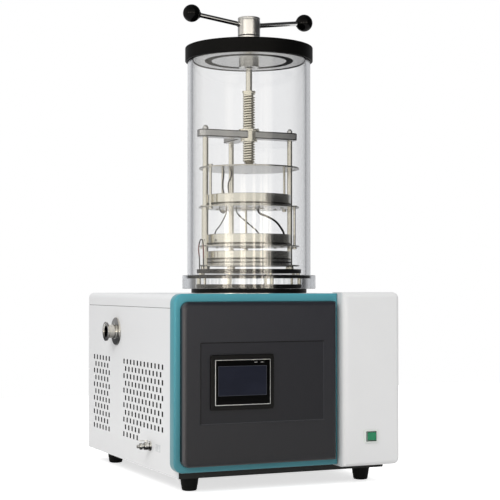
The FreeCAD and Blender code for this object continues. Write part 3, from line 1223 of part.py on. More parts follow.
# ---------------------------------------------------------------------------------------------
# Build, check and write
# ---------------------------------------------------------------------------------------------
def check_and_write():
    doc.recompute()
    faults = [o.Name for o in doc.Objects if "Invalid" in o.State or "Error" in o.State]
    if faults:
        raise RuntimeError(f"failed objects: {faults}")
    for label, feature in parts.items():
        shape = feature.Shape
        if shape.isNull() or not shape.isValid() or not shape.Solids:
            raise RuntimeError(f"{label} has no valid solid")
    os.makedirs(OUT, exist_ok=True)
    for label, feature in sorted(parts.items()):
        feature.Shape.exportStep(os.path.join(OUT, label + ".step"))
        print(f"{label}: {len(feature.Shape.Solids)} solid, {feature.Shape.Volume / 1000:.1f} cm3")


def main():
    make_base_tray()
    make_side_panels()
    make_top_cover()
    make_rear_panel()
    make_front_bulkhead()
    make_feet()
    make_fascia()
    make_screen()
    make_switch()
    make_vacuum_port()
    make_drain()
    make_trap()
    make_drum()
    make_handle()
    make_screw()
    make_rack_base()
    make_columns()
    make_crosshead()
    make_shelves()
    make_leads()
    make_compressor()
    make_condenser()
    make_fan()
    make_lines()
    make_electrics()
    check_and_write()


main()
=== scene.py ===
"""Looks of a benchtop freeze dryer: vented cabinet, moulded fascia, clear drum and stoppering rack."""
import json
import math

import bmesh
import bpy
from mathutils import Euler, Matrix, Vector
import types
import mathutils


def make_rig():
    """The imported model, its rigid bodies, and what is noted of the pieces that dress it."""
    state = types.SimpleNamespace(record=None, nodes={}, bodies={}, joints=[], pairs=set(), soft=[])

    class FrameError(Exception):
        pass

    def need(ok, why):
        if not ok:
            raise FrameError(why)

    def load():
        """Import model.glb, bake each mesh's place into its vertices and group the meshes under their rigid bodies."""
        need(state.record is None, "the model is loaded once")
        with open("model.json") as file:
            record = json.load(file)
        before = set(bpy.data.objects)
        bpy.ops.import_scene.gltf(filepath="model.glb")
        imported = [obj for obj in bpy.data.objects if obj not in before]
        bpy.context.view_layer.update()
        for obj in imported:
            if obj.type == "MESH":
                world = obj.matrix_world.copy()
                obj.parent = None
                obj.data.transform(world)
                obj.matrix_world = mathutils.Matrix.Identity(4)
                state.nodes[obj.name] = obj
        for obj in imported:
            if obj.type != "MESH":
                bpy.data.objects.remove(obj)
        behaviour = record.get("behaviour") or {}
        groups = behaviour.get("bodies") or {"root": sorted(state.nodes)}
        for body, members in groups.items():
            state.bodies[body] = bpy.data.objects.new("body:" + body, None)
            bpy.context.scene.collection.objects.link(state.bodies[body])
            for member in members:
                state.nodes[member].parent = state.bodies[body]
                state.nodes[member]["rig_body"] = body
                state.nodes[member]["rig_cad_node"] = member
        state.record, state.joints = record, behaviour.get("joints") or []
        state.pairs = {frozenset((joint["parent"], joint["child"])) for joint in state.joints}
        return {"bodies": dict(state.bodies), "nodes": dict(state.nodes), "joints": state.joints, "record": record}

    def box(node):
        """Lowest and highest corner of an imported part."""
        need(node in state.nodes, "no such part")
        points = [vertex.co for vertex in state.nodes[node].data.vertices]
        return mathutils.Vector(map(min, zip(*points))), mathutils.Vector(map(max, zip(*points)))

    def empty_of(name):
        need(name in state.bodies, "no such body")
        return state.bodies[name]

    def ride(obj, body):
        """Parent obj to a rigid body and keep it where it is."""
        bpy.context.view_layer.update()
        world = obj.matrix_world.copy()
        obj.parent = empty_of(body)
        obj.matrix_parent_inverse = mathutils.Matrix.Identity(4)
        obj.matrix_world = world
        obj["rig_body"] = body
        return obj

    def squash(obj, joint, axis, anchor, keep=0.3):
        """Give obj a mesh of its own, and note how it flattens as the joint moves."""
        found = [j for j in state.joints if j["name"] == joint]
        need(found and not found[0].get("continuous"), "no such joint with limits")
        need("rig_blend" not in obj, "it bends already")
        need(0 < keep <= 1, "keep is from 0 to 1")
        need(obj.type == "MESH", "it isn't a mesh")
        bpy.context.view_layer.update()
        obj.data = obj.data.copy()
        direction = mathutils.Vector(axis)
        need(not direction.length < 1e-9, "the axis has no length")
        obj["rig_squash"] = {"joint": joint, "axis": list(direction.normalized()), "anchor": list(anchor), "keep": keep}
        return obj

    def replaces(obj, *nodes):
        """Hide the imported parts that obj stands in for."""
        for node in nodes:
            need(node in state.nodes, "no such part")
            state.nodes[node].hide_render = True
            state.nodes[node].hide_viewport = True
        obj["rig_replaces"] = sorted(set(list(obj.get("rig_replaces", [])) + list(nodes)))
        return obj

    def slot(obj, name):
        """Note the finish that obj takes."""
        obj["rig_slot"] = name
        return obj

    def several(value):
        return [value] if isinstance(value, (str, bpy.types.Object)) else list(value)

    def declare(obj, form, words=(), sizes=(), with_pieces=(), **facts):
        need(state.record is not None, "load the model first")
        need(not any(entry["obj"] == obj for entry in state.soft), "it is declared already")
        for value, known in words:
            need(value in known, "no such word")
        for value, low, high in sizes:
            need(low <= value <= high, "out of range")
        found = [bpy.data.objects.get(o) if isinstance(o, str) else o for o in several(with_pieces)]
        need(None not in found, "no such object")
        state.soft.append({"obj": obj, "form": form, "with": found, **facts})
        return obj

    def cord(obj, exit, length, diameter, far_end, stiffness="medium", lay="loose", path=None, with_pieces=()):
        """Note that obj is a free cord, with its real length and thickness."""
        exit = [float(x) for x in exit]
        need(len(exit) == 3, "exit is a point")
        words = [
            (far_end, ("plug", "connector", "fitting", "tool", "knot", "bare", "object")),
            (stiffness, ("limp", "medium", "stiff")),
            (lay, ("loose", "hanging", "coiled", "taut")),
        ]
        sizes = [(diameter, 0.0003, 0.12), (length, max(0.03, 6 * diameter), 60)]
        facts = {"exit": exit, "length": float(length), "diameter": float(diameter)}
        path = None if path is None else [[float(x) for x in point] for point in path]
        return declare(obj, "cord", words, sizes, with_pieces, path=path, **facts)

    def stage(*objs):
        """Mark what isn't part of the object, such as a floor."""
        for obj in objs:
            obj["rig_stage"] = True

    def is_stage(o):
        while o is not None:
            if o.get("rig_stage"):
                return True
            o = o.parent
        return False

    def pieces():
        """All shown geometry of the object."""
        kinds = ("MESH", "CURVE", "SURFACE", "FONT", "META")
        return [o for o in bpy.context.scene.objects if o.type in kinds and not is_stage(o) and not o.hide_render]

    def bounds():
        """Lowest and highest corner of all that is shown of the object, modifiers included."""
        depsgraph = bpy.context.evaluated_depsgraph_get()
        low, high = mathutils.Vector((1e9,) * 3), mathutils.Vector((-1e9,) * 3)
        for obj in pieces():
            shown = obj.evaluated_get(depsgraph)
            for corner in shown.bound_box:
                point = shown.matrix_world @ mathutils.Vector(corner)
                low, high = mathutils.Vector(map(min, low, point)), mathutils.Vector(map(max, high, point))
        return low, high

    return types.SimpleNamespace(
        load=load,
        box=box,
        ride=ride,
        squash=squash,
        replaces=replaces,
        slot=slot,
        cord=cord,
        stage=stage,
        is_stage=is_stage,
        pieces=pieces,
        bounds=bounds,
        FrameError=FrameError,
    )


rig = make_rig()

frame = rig.load()
cad_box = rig.bounds()
scene = bpy.context.scene

MM = 0.001
TURN = 2 * math.pi
UP, LEFT = (0, 0, 1), (-1, 0, 0)
MERGE = 2e-6  # points closer than this are one
NEAR = 1e-5  # points this close to a plane lie in it
CREASE = 32  # degrees between faces, past which their edge stays sharp
FLOOR_LIFT = 0.68  # how much the floor glows to the eye, so that it meets the backdrop's white
STRIP_POWER = 11.0  # the lamp strips that the drum's outer face mirrors


# ------------------------------------------------------------------------------------------------
# Camera
# ------------------------------------------------------------------------------------------------
def set_camera():
    lens = bpy.data.cameras.new("studio_camera")
    lens.sensor_width = 36.0
    lens.lens = 96.4
    lens.clip_start, lens.clip_end = 0.05, 60
    camera = bpy.data.objects.new("studio_camera", lens)
    scene.collection.objects.link(camera)
    camera.location = (-1.089, -2.558, 0.381)
    camera.rotation_euler = Euler((math.radians(90 + 1.52), 0, math.radians(-24.0)))
    scene.camera = camera


set_camera()


# ------------------------------------------------------------------------------------------------
# Building materials
# ------------------------------------------------------------------------------------------------
class Value:
    """A number that travels through a material, with arithmetic that adds Math nodes."""

    def __init__(self, finish, socket):
        self.finish, self.socket = finish, socket

    def _with(self, operation, *others):
        node = self.finish.tree.nodes.new("ShaderNodeMath")
        node.operation = operation
        for place, item in enumerate(others):
            self.finish.feed(node.inputs[place], item)
        return Value(self.finish, node.outputs[0])

    def __add__(self, other):
        return self._with("ADD", self, other)

    def __radd__(self, other):
        return self._with("ADD", other, self)

    def __sub__(self, other):
        return self._with("SUBTRACT", self, other)

    def __rsub__(self, other):
        return self._with("SUBTRACT", other, self)

    def __mul__(self, other):
        return self._with("MULTIPLY", self, other)

    def __rmul__(self, other):
        return self._with("MULTIPLY", other, self)

    def __truediv__(self, other):
        return self._with("DIVIDE", self, other)

    def __pow__(self, other):
        return self._with("POWER", self, other)

    def __abs__(self):
        return self._with("ABSOLUTE", self)

    def __gt__(self, other):
        return self._with("GREATER_THAN", self, other)

    def __lt__(self, other):
        return self._with("LESS_THAN", self, other)

    def lowest(self, other):
        return self._with("MINIMUM", self, other)

    def highest(self, other):
        return self._with("MAXIMUM", self, other)

    def clamped(self, top=1.0):
        """Held between 0 and a top value."""
        return self.highest(0.0).lowest(top)

    def bearing(self, other):
        """The angle whose tangent is this value over the other, in radians."""
        return self._with("ARCTAN2", self, other)

    def sine(self):
        return self._with("SINE", self)


class Nodes:
    """A node tree under construction."""

    def __init__(self, tree):
        self.tree = tree
        tree.nodes.clear()

    def feed(self, socket, item):
        if isinstance(item, Value):
            item = item.socket
        if isinstance(item, bpy.types.NodeSocket):
            self.tree.links.new(item, socket)
        elif socket.type == "RGBA":
            socket.default_value = (*item, 1.0)
        else:
            socket.default_value = item

    def node(self, kind, settings=None, **values):
        """Adds a node; settings come first, then socket values by name with underscores for spaces."""
        made = self.tree.nodes.new("ShaderNode" + kind)
        for name, setting in (settings or {}).items():
            if name == "stops":
                ramp = made.color_ramp
                while len(ramp.elements) < len(setting):
                    ramp.elements.new(0.5)
                for element, (place, colour) in zip(ramp.elements, setting):
                    element.position, element.color = place, (*colour, 1.0)
            else:
                setattr(made, name, setting)
        for name, item in values.items():
            wanted = name.replace("_", " ")
            open_sockets = [s for s in made.inputs if s.name == wanted and s.enabled]
            self.feed(open_sockets[0], item)
        return made

    def fill(self, made, *items):
        """Feeds a node's inputs in their order and gives its output."""
        for socket, item in zip(made.inputs, items):
            self.feed(socket, item)
        return made.outputs[0]

    def join(self, share, first, second):
        """A shader between two shaders."""
        return self.fill(self.node("MixShader"), share, first, second)

    def add(self, first, second):
        """The sum of two shaders."""
        return self.fill(self.node("AddShader"), first, second)

    def light_path(self, name):
        return Value(self, self.node("LightPath").outputs[name])


class Finish(Nodes):
    """One material under construction."""

    def __init__(self, name):
        self.material = bpy.data.materials.new(name)
        self.material.use_nodes = True
        super().__init__(self.material.node_tree)
        self.output = self.node("OutputMaterial")

    def place(self):
        """The three object coordinates as values, and the whole vector."""
        if not hasattr(self, "_place"):
            whole = self.node("TexCoord").outputs["Object"]
            parts = self.node("SeparateXYZ", Vector=whole)
            self._place = (*(Value(self, s) for s in parts.outputs), whole)
        return self._place

    def noise(self, scale, detail=3.0, stretch=(1, 1, 1)):
        where = self.node("Mapping", Vector=self.place()[3], Scale=stretch).outputs[0]
        made = self.node("TexNoise", Vector=where, Scale=scale, Detail=detail, Roughness=0.55)
        return Value(self, made.outputs[0])

    def streaks(self, along, scale):
        """Noise that changes with one value only."""
        made = self.node("TexNoise", {"noise_dimensions": "1D"}, W=along, Scale=scale, Detail=3.0)
        return Value(self, made.outputs[0])

    def blend(self, share, first, second):
        """A colour between two colours."""
        made = self.tree.nodes.new("ShaderNodeMix")
        made.data_type = "RGBA"
        for socket, item in ((made.inputs[0], share), (made.inputs[6], first), (made.inputs[7], second)):
            self.feed(socket, item)
        return made.outputs[2]

    def bump(self, height, depth, strength):
        return self.node("Bump", Height=height, Distance=depth, Strength=strength).outputs[0]

    def skin(self, **values):
        """A surface shader; the names are those of its sockets."""
        return self.node("BsdfPrincipled", **values).outputs[0]

    def show(self, shader):
        """Ends the material with a shader."""
        self.feed(self.output.inputs[0], shader)
        return self.material

    def coat(self, **values):
        """Ends the material with one surface shader."""
        return self.show(self.skin(**values))

    def clear(self, **values):
        """Ends the material as clear plastic that lets shadow and bounce light straight through."""
        glass = self.skin(IOR=1.49, Transmission_Weight=1.0, **values)
        through = self.node("BsdfTransparent", Color=(0.955, 0.96, 0.972)).outputs[0]
        share = self.light_path("Is Shadow Ray").highest(self.light_path("Is Diffuse Ray"))
        return self.show(self.join(share, glass, through))


def grey(level):
    return (level, level, level)


def scaled(colour, share):
    return tuple(c * share for c in colour)


def hypotenuse(a, b):
    return (a * a + b * b) ** 0.5


# ------------------------------------------------------------------------------------------------
# Where things are
# ------------------------------------------------------------------------------------------------
CAB_LOW, CAB_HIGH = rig.box("side_panel_left")[0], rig.box("side_panel_right")[1]
CAB_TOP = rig.box("top_cover")[1].z
CAB_X = (CAB_LOW.x + CAB_HIGH.x) / 2
AXIS = (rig.box("drum_tube")[0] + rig.box("drum_tube")[1]) / 2


def low(node):
    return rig.box(node)[0].z


def high(node):
    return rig.box(node)[1].z


def tall(node):
    """A node's height in millimetres."""
    return (high(node) - low(node)) / MM


def middle_of(node):
    """Where a level axis along X runs through a node: its (y, z)."""
    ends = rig.box(node)
    return (ends[0].y + ends[1].y) / 2, (ends[0].z + ends[1].z) / 2


def on_axis(z):
    return Vector((AXIS.x, AXIS.y, z))


def on_circle(radius, degrees, z):
    """A point about the drum's axis; radius in millimetres, the rest in degrees and metres."""
    a = math.radians(degrees)
    return Vector((AXIS.x + radius * MM * math.cos(a), AXIS.y + radius * MM * math.sin(a), z))


def around(count, first=0):
    """Evenly spaced angles in degrees."""
    return [first + 360 / count * k for k in range(count)]


# ------------------------------------------------------------------------------------------------
# Finishes
# ------------------------------------------------------------------------------------------------
def powder_coat():
    """White powder coat with orange peel outside, and painted shade, near black, on the cabinet's inner faces and slot
    walls.
    """
    f = Finish("powder_coat_white")
    x, y, z, _ = f.place()
    skin, bend = 0.08 * MM, 11.5 * MM
    # Painted shade: inside a thin skin, the inner faces and the slot walls are near black and matt.
    inner = ((abs(x - CAB_X) < (CAB_HIGH.x - CAB_LOW.x) / 2 - skin) * (y > CAB_LOW.y + skin)
             * (y < CAB_HIGH.y - skin) * (z < CAB_TOP - bend))
    peel = f.noise(650, 2.0)
    cloud = f.noise(5, 2.0)
    dust = ((CAB_LOW.z + 0.05 - z) * 9).clamped(0.12) * f.noise(60, 4.0)
    outside = f.blend(cloud * 0.5, (0.805, 0.807, 0.812), (0.775, 0.777, 0.782))
    outside = f.blend(dust, outside, (0.55, 0.54, 0.52))
    colour = f.blend(inner, outside, grey(0.003))
    return f.coat(Base_Color=colour, Roughness=0.34 + 0.10 * f.noise(90, 2.0) + 0.5 * inner,
                  Normal=f.bump(peel, 0.06 * MM, 0.5))


def rise(f):
    """0 at the fascia's foot and 1 at its head; it grades the painted shade that deepens towards the foot."""
    foot, height = 0.06, 0.28
    return ((f.place()[2] - foot) / height).clamped()


def moulded(name, colour, rough=0.34, grain=900, depth=0.04, shift=0.06, shine=0.5, foot=1.0):
    """Moulded plastic: even colour, spark-eroded grain of a depth in millimetres, faint handling marks.

    Shift is how far the colour wanders, and foot is the share of the colour that painted shade leaves at the fascia's
    foot.
    """
    f = Finish(name)
    cloud = f.noise(14, 3.0)
    lighter = tuple(min(c, 1.0) for c in scaled(colour, 1 + shift))
    base = f.blend(cloud, scaled(colour, 1 - shift * 2), lighter)
    # Painted shade: below 1, foot darkens the colour towards the fascia's foot.
    if foot < 1.0:
        base = f.blend(foot + (1.0 - foot) * rise(f), grey(0.0), base)
    grains = f.noise(grain, 2.0)
    return f.coat(Base_Color=base, Roughness=rough - 0.05 + 0.12 * f.noise(70, 3.0),
                  Specular_IOR_Level=shine, Normal=f.bump(grains, depth * MM, 0.6))


def pebble(name, tone, rough, shine):
    """Charcoal fascia plastic: fine pebble grain and faint speckle, with painted shade deepening towards its foot."""
    f = Finish(name)
    grains = f.noise(1500, 2.0)
    # Painted shade: the colour darkens towards the fascia's foot.
    share = (0.45 + 0.50 * rise(f)) * (0.8 + 0.4 * f.noise(700, 1.0))
    base = f.blend(share, grey(0.0), scaled((0.0225, 0.0230, 0.0300), tone))
    # The rounded edge on the left carries a painted highlight, a little paler than the face.
    normal = f.node("NewGeometry").outputs["Normal"]
    facing = Value(f, f.node("SeparateXYZ", Vector=normal).outputs[0])
    painted_edge_highlight = ((0.0 - facing - 0.25) * 2.5).clamped()
    base = f.blend(painted_edge_highlight * (facing > -0.97), base, (0.062, 0.058, 0.062))
    return f.coat(Base_Color=base, Roughness=rough + 0.10 * f.noise(40, 3.0), Specular_IOR_Level=shine,
                  Normal=f.bump(grains, 0.06 * MM, 0.8))


def rubber():
    f = Finish("foot_rubber")
    grains = f.noise(1200, 3.0)
    base = f.blend(f.noise(60, 4.0), grey(0.003), grey(0.006))
    return f.coat(Base_Color=base, Roughness=0.55 + 0.2 * f.noise(200, 3.0), Specular_IOR_Level=0.10,
                  Normal=f.bump(grains, 0.1 * MM, 0.6))


def underside(f, centre, reach):
    """1 on the lower side of a level piece about a height, fading to 0 at its middle; it masks painted shade."""
    return ((centre - f.place()[2]) / reach + 0.15).clamped()


def metal(name, colour, rough, lines=None, stain=0.05, spread=0.12, painted_underside_shade=None):
    """Bare metal. Lines stretches the brushing marks; the last argument is the (height, reach) of an underside darkened
    by painted shade.
    """
    f = Finish(name)
    marks = f.noise(1.0, 2.0, lines) if lines else f.noise(300, 2.0)
    haze = f.noise(25, 3.0)
    base = f.blend(haze * 0.6 + marks * 0.4, scaled(colour, 1 - 3 * stain), colour)
    # Painted shade: the underside darkens towards dark grey.
    if painted_underside_shade:
        base = f.blend(underside(f, *painted_underside_shade), base, grey(0.02))
    return f.coat(Base_Color=base, Metallic=1.0, Roughness=(rough + spread * (marks - 0.5)).highest(0.03),
                  Normal=f.bump(marks, 0.01 * MM, 0.5))


def turned_metal(name, colour, rough, pitch=0.6, depth=0.012, sideways=None, painted_underside_shade=None):
    """Faced on a lathe: rings of a pitch and depth in millimetres about the drum's axis.

    Sideways is the (y, z) of a level axis along X instead; the last argument is as for bare metal.
    """
    f = Finish(name)
    x, y, z, _ = f.place()
    if sideways:
        a, b, along = y - sideways[0], z - sideways[1], x
    else:
        a, b, along = x - AXIS.x, y - AXIS.y, z
    rings = f.streaks((hypotenuse(a, b) + along) / (pitch * MM), 1.0)
    haze = f.noise(18, 3.0)
    base = f.blend(haze * 0.5 + rings * 0.5, scaled(colour, 0.86), colour)
    # Painted shade: the underside darkens towards dark grey.
    if painted_underside_shade:
        base = f.blend(underside(f, *painted_underside_shade), base, grey(0.05))
    return f.coat(Base_Color=base, Metallic=1.0, Roughness=rough + 0.14 * (rings - 0.5),
                  Normal=f.bump(rings, depth * MM, 0.6))


def threaded_steel(name, root, crest):
    """Bright thread crests over roots darkened by painted shade; radii in millimetres."""
    f = Finish(name)
    x, y, z, _ = f.place()
    radius = hypotenuse(x - AXIS.x, y - AXIS.y) / MM
    threaded = (z > high("thrust_bearing")) * (z < high("lead_screw") - 9 * MM)
    # Painted shade: the colour darkens from the crests down into the roots.
    root_shade = ((crest - radius) / (crest - root)).clamped() ** 1.6 * threaded
    # Painted reflection: the crests' cream tint stands in for the warm light the screw mirrors.
    bright = f.blend(f.noise(700, 2.0), (0.90, 0.86, 0.73), (0.97, 0.93, 0.80))
    return f.coat(Base_Color=f.blend(root_shade, bright, (0.20, 0.17, 0.105)), Metallic=1.0 - 0.6 * root_shade,
                  Roughness=0.16 + 0.30 * root_shade)


def acrylic():
    """Clear cast acrylic."""
    return Finish("clear_acrylic").clear(Base_Color=(0.93, 0.934, 0.942), Roughness=0.0)


def sawn_acrylic():
    """The flange's clear acrylic, its outer edge streaked from top to bottom by painted refraction."""
    f = Finish("sawn_acrylic")
    x, y, _, _ = f.place()
    x, y = x - AXIS.x, y - AXIS.y
    edge = hypotenuse(x, y) > 132.5 * MM
    # Painted refraction: darker, rougher streaks round the outer edge.
    refraction_streak = ((f.streaks(y.bearing(x), 17.0) - 0.38) * 3.2).clamped() * edge
    return f.clear(Base_Color=f.blend(refraction_streak, (0.95, 0.955, 0.96), (0.66, 0.68, 0.70)), Roughness=0.10 * refraction_streak)


def glass_face(name, level, shine):
    """Dark glass with the haze that wiping leaves."""
    f = Finish(name)
    smear = f.noise(22, 5.0)
    haze = f.noise(14, 2.0, (1.0, 1.0, 2.4))
    base = f.blend(haze * haze, level, scaled(level, 1.7))
    return f.coat(Base_Color=base, Roughness=0.10 + 0.09 * (smear * smear), Specular_IOR_Level=shine)


def embossed_line(name):
    """The film's pressed edge: in shade along its top and left, catching light along its foot and right."""
    film_low, film_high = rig.box("control_overlay")
    f = Finish(name)
    x, _, z, _ = f.place()
    shaded = (x < film_low.x + 2 * MM).highest(z > film_high.z - 2 * MM)
    return f.coat(Base_Color=f.blend(shaded, (0.052, 0.053, 0.060), grey(0.002)), Roughness=0.45,
                  Specular_IOR_Level=0.1)


def sheath(name, first, second=None, pitch=None):
    """Cable sheath; with a second colour it is a twisted pair of that pitch in metres."""
    f = Finish(name)
    x, _, z, _ = f.place()
    if second:
        base = f.blend(((x + z * 0.6) * (TURN / pitch)).sine() > 0.0, first, second)
    else:
        base = f.blend(f.noise(120, 2.0), first, tuple(min(1, c * 1.4 + 0.004) for c in first))
    return f.coat(Base_Color=base, Roughness=0.42 + 0.15 * f.noise(300, 2.0), Specular_IOR_Level=0.25)


def foam():
    f = Finish("insulation_foam")
    cells = f.noise(900, 3.0)
    return f.coat(Base_Color=f.blend(cells, (0.55, 0.42, 0.20), (0.82, 0.70, 0.42)), Roughness=0.9,
                  Normal=f.bump(cells, 0.8 * MM, 0.8))


PORT_Z = middle_of("vacuum_port")[1]
DRAIN_Z = middle_of("drain_valve_body")[1]

WHITE = powder_coat()
COLUMN_WHITE = moulded("column_white", grey(0.745), 0.36, shift=0.012)
# The teal carries painted shade, deepest at the fascia's foot.
TEAL = moulded("teal_moulding", (0.076, 0.320, 0.380), 0.30, 1100, 0.03, shift=0.03, shine=0.3, foot=0.72)
# Both fascia plastics carry painted shade towards the foot and a painted highlight on the left rounded edge.
CHARCOAL = pebble("charcoal_pebble", 0.9, 0.27, 0.34)
FILM = pebble("control_film", 0.78, 0.30, 0.26)
FILM_LINE = embossed_line("film_pressed_edge")
SCREEN_BLACK = moulded("screen_bezel_black", grey(0.0035), 0.30, 900, 0.02, shine=0.14)
DISPLAY_GLASS = glass_face("display_glass", grey(0.0012), 0.08)
DISPLAY_AREA = glass_face("display_area", (0.0125, 0.0140, 0.0220), 0.10)
DISPLAY_EDGE = moulded("display_area_edge", (0.060, 0.064, 0.078), 0.40, shine=0.2)
SILVER_LINE = metal("silver_line", (0.66, 0.67, 0.68), 0.30)
SWITCH_WHITE = moulded("switch_white", (0.69, 0.72, 0.69), 0.30, shift=0.02)
SWITCH_GREEN = moulded("switch_green", (0.018, 0.215, 0.100), 0.25, 500, 0.02, shift=0.10, shine=0.25)
# Painted shade: near black green for the well and the collar round the rocker.
SWITCH_SHADE = moulded("switch_well", (0.004, 0.020, 0.013), 0.5, shine=0.2)
BLACK_SHEET = moulded("black_powder_coat", grey(0.008), 0.46, 800, 0.1, shine=0.25)
BLACK_PLASTIC = moulded("black_acetal", grey(0.0022), 0.40, 700, 0.05, shine=0.10)
RIM_BLACK = moulded("lid_rim_black", grey(0.0022), 0.50, 450, 0.1, shine=0.08)
KNOB_BLACK = moulded("ball_knob_black", grey(0.002), 0.10, 200, 0.01, shine=0.10)
FOOT_RUBBER = rubber()
CHROME = metal("bright_plating", grey(0.78), 0.08, spread=0.05)
# The nipple's lower side carries painted shade.
NIPPLE_STEEL = turned_metal("turned_nipple", (0.80, 0.785, 0.755), 0.13, 1.1, 0.02,
                            middle_of("vacuum_port"), (PORT_Z + 0.004, 0.022))
# The valve's lower side carries painted shade.
VALVE_PLATING = metal("valve_plating", (0.78, 0.78, 0.77), 0.10, (900, 60, 60), spread=0.05,
                      painted_underside_shade=(DRAIN_Z + 0.001, 0.0035))
# Painted reflection: its cream tint stands in for the warm light it mirrors.
STAINLESS = metal("drawn_stainless", (0.88, 0.85, 0.77), 0.12, (2600, 2600, 30), stain=0.04)
BRUSHED = turned_metal("turned_stainless", (0.72, 0.72, 0.71), 0.22)
# Painted reflection: its cream tint stands in for the warm light it mirrors.
PLATE_STEEL = turned_metal("plate_stainless", (0.62, 0.605, 0.565), 0.20, 0.9)
HUB_STEEL = turned_metal("hub_stainless", (0.74, 0.74, 0.745), 0.34)
# Painted reflection: dark steel for the crosshead's rounded edges.
EDGE_DARK_REFLECTION = metal("ground_edge", (0.055, 0.055, 0.060), 0.30, stain=0.02)
# Painted reflection: its cream tint stands in for the warm light it mirrors.
TRAY_STEEL = metal("spun_tray_steel", (0.80, 0.78, 0.71), 0.13, (60, 60, 3400), stain=0.03)
THREAD_STEEL = threaded_steel("threaded_stainless", 9.4, 12.3)
# Painted reflection: its cream tint stands in for the warm light it mirrors.
SCREW_STEEL = metal("screw_stainless", (0.96, 0.92, 0.80), 0.17, (900, 900, 900), stain=0.03)
LID_METAL = turned_metal("lid_metal", (0.70, 0.69, 0.66), 0.24, 0.7)
ACRYLIC = acrylic()
ACRYLIC_PAINTED_REFRACTION = sawn_acrylic()
# Black seal rubber, also used for dark rings of painted shade and painted refraction.
SEAL_AND_SHADE_BLACK = moulded("seal_rubber", grey(0.004), 0.70, shine=0.10)
LEAD_BLACK = sheath("lead_black", grey(0.002))
LEAD_GREY = sheath("lead_grey", (0.014, 0.016, 0.024))
LEAD_PAIR = sheath("lead_twisted_pair", grey(0.006), (0.60, 0.60, 0.58), 0.009)
LEAD_RED = sheath("lead_red", (0.16, 0.030, 0.025), grey(0.04), 0.03)
COPPER = metal("drawn_copper", (0.80, 0.42, 0.27), 0.25, stain=0.1)
FIN_METAL = metal("fin_aluminium", (0.78, 0.79, 0.80), 0.30)
ENAMEL = moulded("compressor_enamel", grey(0.012), 0.22, 150, 0.2)
BOARD = moulded("circuit_laminate", (0.02, 0.14, 0.07), 0.35, 300, 0.1)
FOAM = foam()
LABEL = moulded("bare_label", (0.70, 0.71, 0.72), 0.25, shift=0.01)


# ------------------------------------------------------------------------------------------------
# Making pieces
# ------------------------------------------------------------------------------------------------
PIECES = []


def start():
    return bmesh.new()


def close(bm):
    bmesh.ops.remove_doubles(bm, verts=bm.verts, dist=MERGE)
    bmesh.ops.recalc_face_normals(bm, faces=bm.faces)


def piece(name, bm, body, finish, nodes=(), slot=None, crease=CREASE):
    """Turns a bmesh into a named piece that rides on a body and stands for CAD nodes."""
    mesh = bpy.data.meshes.new(name)
    bm.to_mesh(mesh)
    bm.free()
    for face in mesh.polygons:
        face.use_smooth = True
    mesh.set_sharp_from_angle(angle=math.radians(crease))
    made = bpy.data.objects.new(name, mesh)
    scene.collection.objects.link(made)
    for item in finish if isinstance(finish, (list, tuple)) else (finish,):
        mesh.materials.append(item)
    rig.ride(made, body)
    if nodes:
        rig.replaces(made, *nodes)
    if slot:
        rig.slot(made, slot)
    PIECES.append(made)
    return made


def flatten_faces():
    """Lets the large faces of a piece keep their own normals beside narrow bevels."""
    for made in PIECES:
        if "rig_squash" not in made:
            step = made.modifiers.new("face_normals", "WEIGHTED_NORMAL")
            step.keep_sharp = True
            step.weight = 100


def carve(target, cutter_bm):
    """Cuts a piece with a bmesh through a Boolean modifier that is applied at once."""
    mesh = bpy.data.meshes.new("cutter")
    cutter_bm.to_mesh(mesh)
    cutter_bm.free()
    cutter = bpy.data.objects.new("cutter", mesh)
    scene.collection.objects.link(cutter)
    step = target.modifiers.new("cut", "BOOLEAN")
    step.object, step.operation, step.solver = cutter, "DIFFERENCE", "EXACT"
    step.material_mode = "INDEX"
    bpy.context.view_layer.update()
    graph = bpy.context.evaluated_depsgraph_get()
    result = bpy.data.meshes.new_from_object(target.evaluated_get(graph))
    target.modifiers.clear()
    old = target.data
    target.data = result
    bpy.data.meshes.remove(old)
    bpy.data.objects.remove(cutter)
    bpy.data.meshes.remove(mesh)
    result.set_sharp_from_angle(angle=math.radians(CREASE))


def bevel(bm, geom, width, segments=2, affect="EDGES"):
    """Rounds edges or corners; width in millimetres."""
    return bmesh.ops.bevel(bm, geom=geom, offset=width * MM, segments=segments, profile=0.5,
                           affect=affect, clamp_overlap=True, material=-1)


def soften(bm, width, segments=2, angle=28, keep=None):
    """Bevels the edges that are sharper than an angle."""
    sharp = [e for e in bm.edges if e.is_manifold and e.calc_face_angle(0) > math.radians(angle)
             and (keep is None or keep(e))]
    bevel(bm, sharp, width, segments)


def move(bm, geom, by):
    bmesh.ops.translate(bm, vec=by, verts=[g for g in geom if isinstance(g, bmesh.types.BMVert)])


def pull_faces(bm, faces, by):
    """Extrudes faces by a vector."""
    move(bm, bmesh.ops.extrude_face_region(bm, geom=faces)["geom"], by)


def pull_edges(bm, edges, by):
    """Extrudes edges by a vector."""
    move(bm, bmesh.ops.extrude_edge_only(bm, edges=edges)["geom"], by)


def is_on_axis(vert, centre, turn):
    away = turn.transposed() @ (vert.co - Vector(centre))
    return math.hypot(away.x, away.y) < 1e-7


